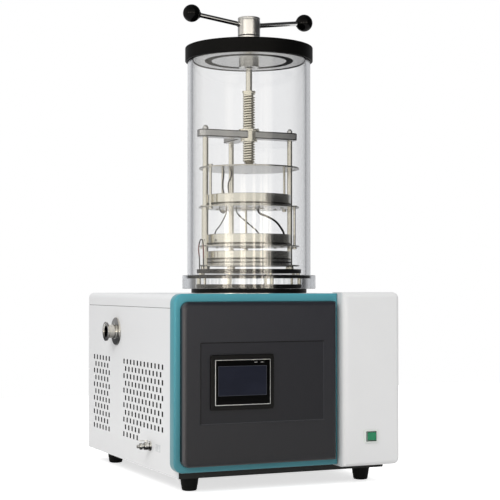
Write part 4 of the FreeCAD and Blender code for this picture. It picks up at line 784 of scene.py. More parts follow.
def spun(bm, outline, centre, axis=UP, steps=144, soft=0.0, segments=2):
    """Spins a closed (radius, height) outline about an axis through a point; sizes in millimetres."""
    turn = Vector(UP).rotation_difference(Vector(axis)).to_matrix()
    corners = [bm.verts.new(Vector(centre) + turn @ Vector((r * MM, 0, h * MM))) for r, h in outline]
    edges = [bm.edges.new(ends) for ends in zip(corners, corners[1:] + corners[:1])
             if not all(is_on_axis(end, centre, turn) for end in ends)]
    bmesh.ops.spin(bm, geom=corners + edges, cent=centre, axis=turn @ Vector(UP), angle=TURN,
                   steps=steps, use_merge=True)
    close(bm)
    if soft:
        soften(bm, soft, segments)


def turned(name, outline, foot, body, finish, nodes=(), slot=None, steps=192, soft=0.0, segments=2):
    """A piece turned about the drum's axis from an outline whose heights start at a level."""
    bm = start()
    spun(bm, outline, on_axis(foot), steps=steps, soft=soft, segments=segments)
    return piece(name, bm, body, finish, nodes, slot)


def ring(inside, outside, foot, head):
    """The outline of a plain ring, or of a disc when its inner radius is 0."""
    return [(inside, foot), (outside, foot), (outside, head), (inside, head)]


def block(bm, lowest, highest, soft=0.0, segments=2):
    """A box between its lowest and its highest corner, in metres."""
    a, b = Vector(lowest), Vector(highest)
    made = bmesh.ops.create_cube(bm, size=1.0)["verts"]
    bmesh.ops.scale(bm, vec=b - a, verts=made)
    bmesh.ops.translate(bm, vec=(a + b) / 2, verts=made)
    if soft:
        bevel(bm, list({e for v in made for e in v.link_edges}), soft, segments)


def rod(bm, start_at, end_at, radius, steps=32, soft=0.0):
    """A round bar between two points; radius in millimetres."""
    a, b = Vector(start_at), Vector(end_at)
    turn = (b - a).to_track_quat("Z", "Y").to_matrix().to_4x4()
    made = bmesh.ops.create_cone(bm, cap_ends=True, segments=steps, radius1=radius * MM,
                                 radius2=radius * MM, depth=(b - a).length,
                                 matrix=Matrix.Translation((a + b) / 2) @ turn)["verts"]
    if soft:
        rims = {e for v in made for e in v.link_edges if e.calc_face_angle(0) > 1.0}
        bevel(bm, list(rims), soft)


def uprights(bm, circle, angles, z0, z1, radius, steps=32, soft=0.0):
    """Upright rods on a circle about the drum's axis; radii in millimetres, levels in metres."""
    for angle in angles:
        rod(bm, on_circle(circle, angle, z0), on_circle(circle, angle, z1), radius, steps, soft)


def hexagon(bm, foot, across, height, soft=0.4):
    """An upright hexagonal nut body on a point; sizes in millimetres."""
    rod(bm, foot, Vector(foot) + Vector((0, 0, height * MM)), across / math.sqrt(3), 6, soft)


def outline_of(node, inset=0.0):
    """A node's (x0, x1, z0, z1) as seen from the front, made smaller on all sides by an inset."""
    a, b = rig.box(node)
    return a.x + inset, b.x - inset, a.z + inset, b.z - inset


def plate(bm, bounds, y, corner, segments=8, side=None):
    """A flat face across Y within (x0, x1, z0, z1), with all corners or only one side's rounded."""
    x0, x1, z0, z1 = bounds
    middle = (x0 + x1) / 2
    made = bmesh.ops.create_grid(bm, x_segments=1, y_segments=1, size=0.5)["verts"]
    bmesh.ops.scale(bm, vec=(x1 - x0, z1 - z0, 1), verts=made)
    bmesh.ops.rotate(bm, cent=(0, 0, 0), matrix=Matrix.Rotation(math.radians(90), 3, "X"), verts=made)
    bmesh.ops.translate(bm, vec=(middle, y, (z0 + z1) / 2), verts=made)
    face = made[0].link_faces[0]
    if corner:
        tips = [v for v in face.verts if side is None or (v.co.x < middle) == (side == "left")]
        out = bevel(bm, tips, corner, segments, "VERTICES")
        face = max((f for v in out["verts"] for f in v.link_faces), key=lambda f: f.calc_area())
    return face


def slab(bounds, y, back, corner=0.0, segments=4, soft=0.0, rings=2, front_only=False):
    """A plate between two depths; its edges are softened, all of them or only the front ones."""
    bm = start()
    pull_faces(bm, [plate(bm, bounds, y, corner, segments)], (0, back - y, 0))
    close(bm)
    if soft:
        def at_front(edge):
            return max(v.co.y for v in edge.verts) < y + NEAR
        soften(bm, soft, rings, keep=at_front if front_only else None)
    return bm


def box_within(bounds, y0, y1, soft=0.0):
    """A block that fills (x0, x1, z0, z1) between two depths."""
    x0, x1, z0, z1 = bounds
    bm = start()
    block(bm, (x0, y0, z0), (x1, y1, z1), soft)
    return bm


def frame_of(bounds, wide, y, thick):
    """A flat rectangular frame across Y, as wide inwards from its bounds as stated."""
    x0, x1, z0, z1 = bounds
    bm = start()
    outer = plate(bm, bounds, y, 0)
    inner = plate(bm, (x0 + wide, x1 - wide, z0 + wide, z1 - wide), y, 0)
    loops = list(outer.edges) + list(inner.edges)
    bmesh.ops.delete(bm, geom=[outer, inner], context="FACES_ONLY")
    bmesh.ops.bridge_loops(bm, edges=loops)
    pull_faces(bm, list(bm.faces), (0, thick, 0))
    close(bm)
    return bm


def moulded_cover(bounds, front, back, corner, edge, side, steps):
    """A cover, open at the back, rounded at one side, with a soft front edge; radii in millimetres."""
    bm = start()
    pull_faces(bm, [plate(bm, bounds, front, corner, 10, side)], (0, back - front, 0))
    bmesh.ops.recalc_face_normals(bm, faces=bm.faces)
    rim = [e for e in bm.edges if e.calc_face_angle(0) > 1.0
           and all(abs(v.co.y - front) < NEAR for v in e.verts)]
    bevel(bm, rim, edge, steps)
    rear = [f for f in bm.faces if all(abs(v.co.y - back) < NEAR for v in f.verts)]
    bmesh.ops.delete(bm, geom=rear, context="FACES_ONLY")
    face_forward(bm)
    return bm


def face_forward(bm):
    """Turns an open front cover's faces so that their outsides look forward."""
    bmesh.ops.recalc_face_normals(bm, faces=bm.faces)
    if sum(f.normal.y * f.calc_area() for f in bm.faces) > 0:
        bmesh.ops.reverse_faces(bm, faces=bm.faces)


def thicken(made, wall=2.5):
    """Gives an open cover its wall, inwards; wall in millimetres."""
    step = made.modifiers.new("wall", "SOLIDIFY")
    step.thickness, step.offset = wall * MM, -1.0
    step.use_even_offset = False


def dress(finish, *nodes):
    """Gives CAD nodes that keep their own shape a finish."""
    for node in nodes:
        mesh = frame["nodes"][node].data
        mesh.materials.clear()
        mesh.materials.append(finish)


# ------------------------------------------------------------------------------------------------
# Drum, lid and seat. Outlines are (radius, height) in millimetres.
# ------------------------------------------------------------------------------------------------
def build_drum():
    foot = low("drum_tube")
    turned("drum_wall", ring(114, 124, 0, tall("drum_tube")), foot, "machine", ACRYLIC,
           ["drum_tube"], "acrylic", steps=256, soft=0.7)
    flange = turned("drum_foot_flange", ring(107.5, 134, 0, tall("drum_flange")), low("drum_flange"),
                    "machine", ACRYLIC_PAINTED_REFRACTION, ["drum_flange"], "acrylic", steps=256, soft=1.2, segments=3)
    # The tube sits in a rebate of its flange, and a dark ring below it is painted refraction: the dark line the flange
    # shows.
    rebate = start()
    spun(rebate, ring(113.7, 124.3, -6.6, 3), on_axis(foot), steps=256)
    carve(flange, rebate)
    turned("drum_bond_ring", ring(113.8, 124.2, -6.5, -0.1), foot, "machine", SEAL_AND_SHADE_BLACK, soft=0.4)
    turned("drum_seat", [(98, 0), (116, 0), (116, 8.4), (106, 8.4), (106, 17.3), (98, 17.3)],
           low("seat_ring"), "machine", BLACK_PLASTIC, ["seat_ring"], "black_plastic", soft=0.8)


def build_lid():
    tube_top, top = high("drum_tube"), high("lid_plate")
    disc = start()
    spun(disc, [(14.08, -14), (75.75, -14), (75.75, -12), (89.25, -12), (89.25, -14), (112.8, -14),
                (112.8, 0), (121.5, 0), (121.5, 9), (14.08, 9)], on_axis(tube_top), steps=192, soft=0.5)
    # The disc's upper face is black, the rest bare metal.
    for face in disc.faces:
        face.material_index = int(face.calc_center_median().z > top - 0.4 * MM)
    piece("lid_disc", disc, "machine", [LID_METAL, RIM_BLACK], ["lid_plate"], "lid_metal")
    turned("lid_groove_seal", ring(75.9, 89.1, -14.6, -12.05), tube_top, "machine", SEAL_AND_SHADE_BLACK,
           steps=144, soft=0.5)
    turned("lid_edge_rim", [(124.3, -14.5), (129, -14.5), (129, 12.4), (127.5, 13.9), (113.5, 13.9),
                            (113.5, 9), (121.58, 9), (121.58, 0), (124.3, 0)],
           tube_top, "machine", RIM_BLACK, ["lid_rim"], "black_plastic", steps=256, soft=0.9, segments=3)
    turned("shaft_gland", [(6.6, -39), (14, -39), (14, 0), (22.7, 0), (22.7, 12), (21.9, 12.8),
                           (21.9, 13.6), (22.7, 14.4), (22.7, 27.6), (6.6, 27.6)],
           top, "machine", HUB_STEEL, ["gland_body"], "stainless", steps=96, soft=0.8)
    nut = turned("shaft_gland_nut", [(14.08, 0), (17, 0), (20.5, 3.5), (20.5, 16), (14.08, 16)],
                 low("gland_nut"), "machine", BRUSHED, ["gland_nut"], "stainless", steps=96, soft=0.5)
    # Four notches for a hook spanner run past both ends of the nut's side.
    notches, notch_middle, notch_half = start(), low("gland_nut") + 9.5 * MM, 14 * MM
    uprights(notches, 20.5, around(4, 45), notch_middle - notch_half, notch_middle + notch_half, 2.2, 16)
    carve(nut, notches)
    # Six socket screws hold the disc to its rim's shoulder.
    heads, sockets, screw_circle = start(), start(), 100
    for angle in around(6, 30):
        foot = on_circle(screw_circle, angle, top)
        rod(heads, foot, foot + Vector((0, 0, 2.8 * MM)), 4.2, 32, 0.4)
        hexagon(sockets, foot + Vector((0, 0, 1.2 * MM)), 4.2, 2.5, soft=0)
    carve(piece("lid_disc_screws", heads, "machine", CHROME), sockets)


# ------------------------------------------------------------------------------------------------
# T-handle and lead screw
# ------------------------------------------------------------------------------------------------
def build_handle():
    hub_foot = low("handle_hub")
    turned("t_handle_hub", [(6.5, 0), (21.5, 0), (22.7, 1.2), (22.7, 31.1), (22, 32.1), (22, 33.1),
                            (22.7, 34.1), (22.7, 36.4), (21.5, 37.6), (0, 37.6), (0, 29.6), (6.5, 29.6)],
           hub_foot, "handle", HUB_STEEL, ["handle_hub"], "stainless", steps=96, soft=0.5)
    # Each arm rises from the hub to its knob, whose ball is turned in steps of 4.5 degrees.
    arm_z, knob_reach, knob_rise, ball = hub_foot + 20.7 * MM, 0.1245, 0.0164, 17.5
    tilts = [math.radians(4.5 * k) for k in range(1, 37)]
    ball_side = [(ball * math.sin(tilt), -ball * math.cos(tilt)) for tilt in tilts]
    knob = [(0, -ball), *ball_side, (6.8, 17.3), (4.85, 18), (4.85, 0), (0, 0)]
    arms, knobs = start(), start()
    for side in (-1, 1):
        base = on_axis(arm_z)
        end = Vector((AXIS.x + side * knob_reach, AXIS.y, arm_z + knob_rise))
        along = (end - base).normalized()
        rod(arms, base + along * 0.009, end, 4.8, 48)
        # Thread undercut and shoulder where the arm enters the hub.
        rod(arms, base + along * 0.0215, base + along * 0.0245, 6.2, 48, 0.5)
        spun(knobs, knob, end, tuple(-along), steps=64)
    piece("t_handle_arms", arms, "handle", CHROME, ["handle_arms"], "plated")
    close(knobs)
    piece("t_handle_knobs", knobs, "handle", KNOB_BLACK, ["ball_knobs"], "knob_black", crease=50)
    foot = low("drive_shaft")
    bar, keyway = start(), start()
    rod(bar, on_axis(foot), on_axis(high("drive_shaft")), 6.5, 64, 0.6)
    shaft = piece("drive_shaft_bar", bar, "handle", STAINLESS, ["drive_shaft"], "stainless")
    block(keyway, (AXIS.x - 0.0015, AXIS.y + 0.0045, foot - 0.002),
          (AXIS.x + 0.0015, AXIS.y + 0.008, low("gland_nut") - 0.001))
    carve(shaft, keyway)


def build_screw():
    foot = high("thrust_bearing")
    pitch, core, crest, length = 5.0, 9.2, 12.5, 142.0
    # Thread: one trapezoid ridge carried up a helix, on a plain core.
    first, plain_end, steps = pitch * 0.9, 8.0, 40
    ridge = [(core - 0.4, -2.05), (core, -2.0), (crest, -1.1), (crest, 1.1), (core, 2.0), (core - 0.4, 2.05)]
    count = int((length - plain_end) / pitch * steps)
    thread = start()
    corners = [thread.verts.new(Vector((AXIS.x + r * MM, AXIS.y, foot + (first + h) * MM))) for r, h in ridge]
    edges = [thread.edges.new(ends) for ends in zip(corners, corners[1:])]
    bmesh.ops.spin(thread, geom=corners + edges, cent=on_axis(0), axis=UP,
                   dvec=(0, 0, pitch * MM / steps), angle=TURN * count / steps, steps=count)
    close(thread)
    screw = start()
    spun(screw, [(0, -6.9), (7, -6.9), (7, 0.1), (core - 0.8, 0.1), (core, 0.9), (core, 139.2), (12, 139.2),
                 (12, 142.8), (13.5, 142.8), (13.5, 147), (6.6, 147), (6.6, 12), (0, 12)],
         on_axis(foot), steps=96)
    soften(screw, 0.4)
    helix = bpy.data.meshes.new("thread")
    thread.to_mesh(helix)
    thread.free()
    screw.from_mesh(helix)
    bpy.data.meshes.remove(helix)
    piece("lead_screw_threaded", screw, "screw", THREAD_STEEL, ["lead_screw"], "screw_steel", crease=40)
    foot = low("thrust_bearing")
    turned("screw_foot_bearing", [(0, 0), (16, 0), (16, 5.5), (15, 7.5), (11, 9), (7.1, 9), (7.1, 1.9),
                                  (0, 1.9)],
           foot, "press", SCREW_STEEL, ["thrust_bearing"], "screw_steel", steps=96, soft=0.4)
    bolts, seat = start(), foot + 8.2 * MM
    uprights(bolts, 12.8, around(3, 90), seat, seat + 2 * MM, 1.9, 24, 0.3)
    piece("screw_foot_bolts", bolts, "press", CHROME)


# ------------------------------------------------------------------------------------------------
# Rack
# ------------------------------------------------------------------------------------------------
COLUMN_CIRCLE = 93.0
COLUMN_ANGLES = (0, 90, 180)
UPPER_HANGERS = (13, 103, 193)
MIDDLE_HANGERS = (-20, 70, 160)
SHELF_RADIUS, SHELF_THICK, PAD_RADIUS = 101.5, 2.4, 84
HANGER_RADIUS = 2.5


def holes(node, *groups):
    """Cutters for holes through a node on the columns' circle; each group is (angles, radius)."""
    bm = start()
    for angles, radius in groups:
        uprights(bm, COLUMN_CIRCLE, angles, low(node) - 2 * MM, high(node) + 2 * MM, radius, 40)
    return bm


def build_rack_base():
    foot, top, head = low("rack_base"), high("rack_base"), tall("rack_base")
    base = turned("rack_base_disc", ring(30, 105, head - 8, head), foot, "machine", BLACK_PLASTIC,
                  ["rack_base"], "black_plastic", soft=0.9)
    vents, posts = start(), start()
    uprights(vents, 60, around(6), foot, top + 3 * MM, 15, 64)
    carve(base, vents)
    uprights(posts, 102, around(8), foot, top - 7.9 * MM, 3.2, 32, 0.3)
    piece("rack_base_posts", posts, "machine", SCREW_STEEL)


def build_columns():
    foot, head = low("columns"), low("crosshead")
    long = (head - foot) / MM
    columns, nuts = start(), start()
    for angle in COLUMN_ANGLES:
        spun(columns, [(0, 0), (8.5, 0), (8.5, 5), (7.5, 6), (5.5, 6), (5.5, long - 0.6), (4.9, long),
                       (3, long), (3, long + 21), (0, long + 21)],
             on_circle(COLUMN_CIRCLE, angle, foot), steps=48)
        top = on_circle(COLUMN_CIRCLE, angle, high("crosshead"))
        hexagon(nuts, top, 10, 5)
        spun(nuts, [(0, 4.9), (4.6, 4.9), (4.3, 6.8), (3.2, 8.3), (1.6, 8.9), (0, 9)], top, steps=32)
    piece("rack_columns", columns, "machine", STAINLESS, ["columns"], "stainless")
    piece("column_dome_nuts", nuts, "machine", CHROME, ["column_cap_nuts"], "stainless")


def build_crosshead():
    """A T-shaped bar: a grid of six fields, less the two beside the stem."""
    half, end = 15 * MM, 107 * MM
    foot, head = low("crosshead"), high("crosshead")
    bm = start()
    flat = bmesh.ops.create_grid(bm, x_segments=3, y_segments=2, size=0.5)["verts"]
    xs, ys = (-end, -half, half, end), (-half, half, end)
    for vert in flat:
        column, row = round((vert.co.x + 0.5) * 3), round((vert.co.y + 0.5) * 2)
        vert.co = Vector((AXIS.x + xs[column], AXIS.y + ys[row], foot))
    bm.faces.ensure_lookup_table()
    spare = [f for f in bm.faces if f.calc_center_median().y > AXIS.y + half
             and abs(f.calc_center_median().x - AXIS.x) > half]
    bmesh.ops.delete(bm, geom=spare, context="FACES")
    bmesh.ops.dissolve_limit(bm, angle_limit=0.01, verts=bm.verts, edges=bm.edges)
    reach = end - 0.5 * MM
    tips = [v for v in bm.verts if abs(v.co.x - AXIS.x) > reach or v.co.y - AXIS.y > reach]
    bevel(bm, tips, 10, 8, "VERTICES")
    pull_faces(bm, list(bm.faces), (0, 0, head - foot))
    bmesh.ops.recalc_face_normals(bm, faces=bm.faces)
    soften(bm, 2.2, 3)
    # Its rounded edges, neither level nor upright, are dark: a painted reflection.
    for face in bm.faces:
        face.material_index = int(0.2 < abs(face.normal.z) < 0.95)
    piece("rack_crosshead", bm, "machine", [HUB_STEEL, EDGE_DARK_REFLECTION], ["crosshead"], "stainless")


def build_press_nut():
    turned("press_screw_nut", [(12.58, 0), (17, 0), (17, 21), (21, 21), (21, 25), (12.58, 25)],
           low("press_nut"), "machine", SCREW_STEEL, ["press_nut"], "stainless", steps=96, soft=0.6)
    screws, top = start(), high("press_nut")
    uprights(screws, 19, around(4, 45), top, top + 1.6 * MM, 1.5, 20, 0.25)
    piece("press_nut_screws", screws, "machine", CHROME)


def heated_shelf(name, node, body, pad, groups):
    """A plate with a heater pad of a thickness on it, and holes for columns and hangers."""
    foot, top = low(node), SHELF_THICK + pad
    shelf = turned(name, [(0, 0), (SHELF_RADIUS, 0), (SHELF_RADIUS, SHELF_THICK), (PAD_RADIUS, SHELF_THICK),
                          (PAD_RADIUS, top), (0, top)],
                   foot, body, PLATE_STEEL, [node], "shelf_steel", soft=0.5)
    carve(shelf, holes(node, *groups))
    if pad < 6:
        # A thin pad is clamped from below, by a ring and small screws.
        clamp = start()
        spun(clamp, ring(22, 30, -1.6, 0), on_axis(foot), steps=64, soft=0.4)
        uprights(clamp, 70, around(6, 15), foot, foot - 1.6 * MM, 3.0, 24, 0.4)
        piece(name + "_clamp", clamp, body, PLATE_STEEL)
    else:
        # A dark band round the thick pad's side is painted shade.
        turned(name + "_band", ring(84, 85.2, 6.4, 8.6), foot, body, SEAL_AND_SHADE_BLACK, steps=128)
    # A dark ring at the pad's top edge is painted shade, the dark line under each tray.
    turned(name + "_gasket", ring(83, 84.3, top - 1.7, top - 0.05), foot, body, SEAL_AND_SHADE_BLACK, steps=128)


def tray(name, node, body):
    rim = tall(node)
    turned(name, [(0, 0), (82.9, 0), (84.5, 1.6), (84.5, rim - 0.7), (84.0, rim), (83.7, rim),
                  (83.3, rim - 0.6), (83.3, 2.6), (82.2, 1.2), (0, 1.2)],
           low(node), body, TRAY_STEEL, [node], "tray_steel")


def hangers(name, node, body, angles):
    """Three rods with a nut at each end."""
    foot, head = low(node), high(node)
    bm = start()
    for angle in angles:
        uprights(bm, COLUMN_CIRCLE, [angle], foot, head, HANGER_RADIUS, 24, 0.4)
        for nut_foot in (foot, head - 4 * MM):
            hexagon(bm, on_circle(COLUMN_CIRCLE, angle, nut_foot), 8, 3.9)
    piece(name, bm, body, STAINLESS, [node], "shelf_steel")


def build_shelves():
    # Each hanger fits its own shelf and passes the plates above it with room; the columns fit only the
    # lower shelf.
    heated_shelf("lower_heated_shelf", "shelf_lower", "machine", 12.4, [(COLUMN_ANGLES, 5.6)])
    heated_shelf("middle_heated_shelf", "shelf_middle", "middle_shelf", 4,
                 [(COLUMN_ANGLES, 6), (MIDDLE_HANGERS, 2.52)])
    heated_shelf("upper_heated_shelf", "shelf_upper", "upper_shelf", 5.6,
                 [(COLUMN_ANGLES, 6), (MIDDLE_HANGERS, 3), (UPPER_HANGERS, 2.52)])
    tray("lower_tray", "tray_lower", "machine")
    tray("middle_tray", "tray_middle", "middle_shelf")
    tray("upper_tray", "tray_upper", "upper_shelf")
    disc = turned("press_disc", ring(0, 101, 0, 3), low("press_plate"), "press", PLATE_STEEL,
                  ["press_plate"], "shelf_steel", soft=0.6)
    carve(disc, holes("press_plate", (COLUMN_ANGLES, 6), (UPPER_HANGERS, 3), (MIDDLE_HANGERS, 5.5)))
    hangers("upper_hanger_rods", "upper_hangers", "upper_shelf", UPPER_HANGERS)
    hangers("middle_hanger_rods", "middle_hangers", "middle_shelf", MIDDLE_HANGERS)


def lead(name, route, radius, length, body, finish):
    """A thin cable along one smooth spline, made a mesh tube; length is its real length in metres."""
    curve = bpy.data.curves.new(name, "CURVE")
    curve.dimensions = "3D"
    curve.bevel_resolution = 4
    curve.use_fill_caps = True
    spline = curve.splines.new("NURBS")
    spline.points.add(len(route) - 1)
    for point, place in zip(spline.points, route):
        point.co = (*place, 1.0)
    spline.order_u = 3
    spline.use_endpoint_u = True
    spline.resolution_u = 10
    holder = bpy.data.objects.new(name, curve)
    scene.collection.objects.link(holder)

    def as_mesh():
        bpy.context.view_layer.update()
        return bpy.data.meshes.new_from_object(holder.evaluated_get(bpy.context.evaluated_depsgraph_get()))

    centreline = as_mesh()
    path = [tuple(v.co) for v in centreline.vertices]
    curve.bevel_depth = radius * MM
    tube = as_mesh()
    bpy.data.objects.remove(holder)
    bpy.data.curves.remove(curve)
    bm = start()
    bm.from_mesh(tube)
    bpy.data.meshes.remove(centreline)
    bpy.data.meshes.remove(tube)
    bmesh.ops.remove_doubles(bm, verts=bm.verts, dist=MERGE)
    made = piece(name, bm, body, finish, crease=60)
    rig.cord(made, exit=tuple(route[0]), length=length, diameter=2 * radius * MM, far_end="object",
            stiffness="limp", lay="hanging", path=path)
    return made


def build_leads():
    """Leads that hang from a shelf or plate to the tray below, and a loop on the rack's base."""
    def spot(x, y, z):  # x and y from the drum's axis in millimetres, z a level in metres
        return Vector((AXIS.x + x * MM, AXIS.y + y * MM, z))

    tray_floor = 1.5 * MM
    under, floor, rim = low("shelf_upper"), low("tray_middle") + tray_floor, high("tray_middle")
    black = lead("probe_lead_black", [
        spot(20, 0, under), spot(20, 0, under - 0.009), spot(37, -3, under - 0.014),
        spot(57, -9, under - 0.025), spot(67, -16, under - 0.042), spot(70, -20, rim + 0.002),
        spot(70, -20, floor)],
        2.1, 0.0975, "upper_shelf", LEAD_BLACK)
    pair = lead("probe_lead_pair", [
        spot(-26, 5, under), spot(-26, 5, under - 0.008), spot(-10, 16, under - 0.018),
        spot(46, 50, rim + 0.007), spot(51, 57, rim - 0.003), spot(51, 57, floor)],
        1.5, 0.125, "upper_shelf", LEAD_PAIR)
    grey_lead = lead("probe_lead_grey", [
        spot(-45, 8, under), spot(-45, 8, under - 0.009), spot(-56, 4, under - 0.027),
        spot(-66, -2, rim + 0.014), spot(-77, -6, rim + 0.004), spot(-77, -6, floor)],
        1.2, 0.0815, "upper_shelf", LEAD_GREY)
    loop = lead("heater_lead_loop", [
        spot(-66, -6, under), spot(-66, -6, under - 0.006), spot(-56, 0, under - 0.012),
        spot(-49, 2, under - 0.006), spot(-49, 2, under)],
        1.0, 0.0315, "upper_shelf", LEAD_BLACK)
    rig.replaces(black, "leads_middle")
    for item in (black, pair, grey_lead, loop):
        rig.squash(item, "middle_shelf_lift", axis=(0, 0, 1), anchor=(AXIS.x, AXIS.y, under), keep=0.35)
    under, floor = low("press_plate"), low("tray_upper") + tray_floor
    for number, x, y, bow, foot in ((1, -25, 73.5, -3, 5), (2, -6, 77, -8, -1)):
        made = lead(f"probe_lead_upper_{number}", [
            spot(x, y, under), spot(x, y, under - 0.008), spot(x + bow, y - 1, under - 0.020),
            spot(x + bow, y - 1, under - 0.036), spot(x + foot, y, floor + 0.012), spot(x + foot, y, floor)],
            1.6, 0.0705, "press", LEAD_GREY)
        if number == 1:
            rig.replaces(made, "leads_upper")
        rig.squash(made, "upper_shelf_lift", axis=(0, 0, 1), anchor=(AXIS.x, AXIS.y, under), keep=0.26)
    # A loop stands up from the rack's base just outside the left column: (outwards, degrees, height).
    foot, radius = high("rack_base"), COLUMN_CIRCLE + 11.3
    arch = [(0, 180, 0), (0, 180, 0.020), (2, 179, 0.042), (0, 182, 0.060), (0, 188, 0.058),
            (0, 190, 0.030), (0, 190, 0)]
    made = lead("base_lead_loop", [on_circle(radius + out, angle, foot + up) for out, angle, up in arch],
                1.1, 0.126, "machine", LEAD_RED)
    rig.replaces(made, "lead_base")


# ------------------------------------------------------------------------------------------------
# Fascia
# ------------------------------------------------------------------------------------------------
def build_fascia():
    back = CAB_LOW.y
    gap = 0.35 * MM

    # Teal frame: an outer and an inner rounded loop, bridged, with a wall and an inner return.
    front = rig.box("fascia_frame")[0].y
    bm = start()
    outer = plate(bm, outline_of("fascia_frame"), front, 18, 12, "left")
    outer_edges = list(outer.edges)
    inner = plate(bm, outline_of("fascia_panel", -gap), front, 15.3, 12, "left")
    inner_edges = list(inner.edges)
    bmesh.ops.delete(bm, geom=[outer, inner], context="FACES_ONLY")
    bmesh.ops.bridge_loops(bm, edges=outer_edges + inner_edges)
    pull_edges(bm, outer_edges, (0, back - front, 0))
    pull_edges(bm, inner_edges, (0, 4 * MM, 0))
    face_forward(bm)
    bevel(bm, [e for e in outer_edges if e.is_valid], 4, 5)
    edge = [e for e in bm.edges if e.is_manifold and e.calc_face_angle(0) > 1.0
            and all(abs(v.co.y - front) < NEAR for v in e.verts)]
    bevel(bm, edge, 0.6)
    thicken(piece("teal_surround", bm, "machine", TEAL, ["fascia_frame"], "teal_frame"))

    bm = moulded_cover(outline_of("fascia_panel"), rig.box("fascia_panel")[0].y, back, 15, 7.5, "left", 7)
    thicken(piece("charcoal_panel", bm, "machine", CHARCOAL, ["fascia_panel"], "dark_panel"))
    bm = moulded_cover(outline_of("fascia_column"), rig.box("fascia_column")[0].y, back, 12, 10.5, "right", 8)
    thicken(piece("white_column", bm, "machine", COLUMN_WHITE, ["fascia_column"], "white_column"))


def build_screen():
    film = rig.box("control_overlay")[0].y
    bm = slab(outline_of("control_overlay"), film, film + 0.8 * MM, 1.5, 4, soft=0.3)
    piece("control_film", bm, "machine", FILM, ["control_overlay"], "overlay")
    # A pressed line runs just inside the film's edge.
    bm = frame_of(outline_of("control_overlay", 0.6 * MM), 1.0 * MM, film - 0.12 * MM, 0.2 * MM)
    piece("control_film_line", bm, "machine", FILM_LINE)

    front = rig.box("screen_bezel")[0].y
    bm = slab(outline_of("screen_bezel"), front, film, 4, 6, soft=1.3, rings=4, front_only=True)
    surround = piece("screen_surround", bm, "machine", SCREEN_BLACK, ["screen_bezel"], "bezel_black")
    carve(surround, box_within(outline_of("screen_module", -0.3 * MM), front - 3 * MM, film + 1 * MM))
    # The module's front: silver edge line, black glass and the display area on it.
    module_low, module_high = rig.box("screen_module")
    front = module_low.y
    bm = slab(outline_of("screen_module"), front, front + 3 * MM, 1.2, 4, soft=0.35, front_only=True)
    piece("screen_edge_line", bm, "machine", SILVER_LINE, ["screen_module"], "screen")
    glass = front - 0.2 * MM
    bm = slab(outline_of("screen_module", 1.1 * MM), glass, glass + 1 * MM, 0.8, 3)
    piece("screen_glass", bm, "machine", DISPLAY_GLASS)
    left, right, foot, head = 6.4 * MM, 8.6 * MM, 17.8 * MM, 12.2 * MM
    window = (module_low.x + left, module_high.x - right, module_low.z + foot, module_high.z - head)
    area = front - 0.3 * MM
    piece("screen_display_window", slab(window, area, area + 0.6 * MM), "machine", DISPLAY_AREA)
    edge = 0.5 * MM
    around_window = (window[0] - edge, window[1] + edge, window[2] - edge, window[3] + edge)
    bm = frame_of(around_window, edge, front - 0.32 * MM, 0.2 * MM)
    piece("screen_display_edge", bm, "machine", DISPLAY_EDGE)
    # Two small plain marks above the display area.
    bm = start()
    for k in range(2):
        x = module_high.x - (17.5 + 12.5 * k) * MM
        block(bm, (x - 2.8 * MM, front - 0.32 * MM, module_high.z - 5.8 * MM),
              (x + 2.8 * MM, front - 0.1 * MM, module_high.z - 5.0 * MM))
    piece("screen_lamp_marks", bm, "machine", SILVER_LINE)
    bm = box_within(outline_of("screen_module", 2 * MM), film + 0.6 * MM, module_high.y, 1.0)
    piece("screen_case", bm, "machine", SCREEN_BLACK)


def build_switch():
    housing_low, housing_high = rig.box("switch_housing")
    face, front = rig.box("fascia_column")[0].y, housing_low.y
    bm = slab(outline_of("switch_housing"), front, face, 2.2, 5, soft=0.9, rings=3, front_only=True)
    surround = piece("switch_surround", bm, "machine", SWITCH_WHITE, ["switch_housing"], "switch_white")
    middle = (housing_low + housing_high) / 2
    half_wide, half_tall = 11.0 * MM, 9.6 * MM
    opening = (middle.x - half_wide, middle.x + half_wide, middle.z - half_tall, middle.z + half_tall)
    carve(surround, box_within(opening, front - 3 * MM, face + 2 * MM))
    # A well lies behind the surround, and a collar of the same plastic lines its opening; their near black green is
    # painted shade round the rocker.
    well = piece("switch_well", box_within(outline_of("switch_housing", 2 * MM), face, housing_high.y),
                 "machine", SWITCH_SHADE)
    piece("switch_collar", frame_of(opening, 1.2 * MM, front - 0.1 * MM, 2.4 * MM), "machine", SWITCH_SHADE)
    carve(well, box_within(opening, face - 3 * MM, face + 11 * MM))
    # The rocker's section, seen from above, is carried down its height; sizes are from its pivot.
    rocker_low, rocker_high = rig.box("switch_rocker")
    pivot = front + 3 * MM
    section = [(-7.5, -2.0), (0, -2.6), (8.7, -5.6), (8.7, 1), (3, 5), (-3, 5), (-7.5, 1)]
    bm = start()
    side = bm.faces.new([bm.verts.new((middle.x + u * MM, pivot + v * MM, rocker_low.z)) for u, v in section])
    pull_faces(bm, [side], (0, 0, rocker_high.z - rocker_low.z))
    close(bm)
    soften(bm, 0.7, 3, angle=10)
    piece("switch_rocker_cap", bm, "rocker", SWITCH_GREEN, ["switch_rocker"], "switch_green")


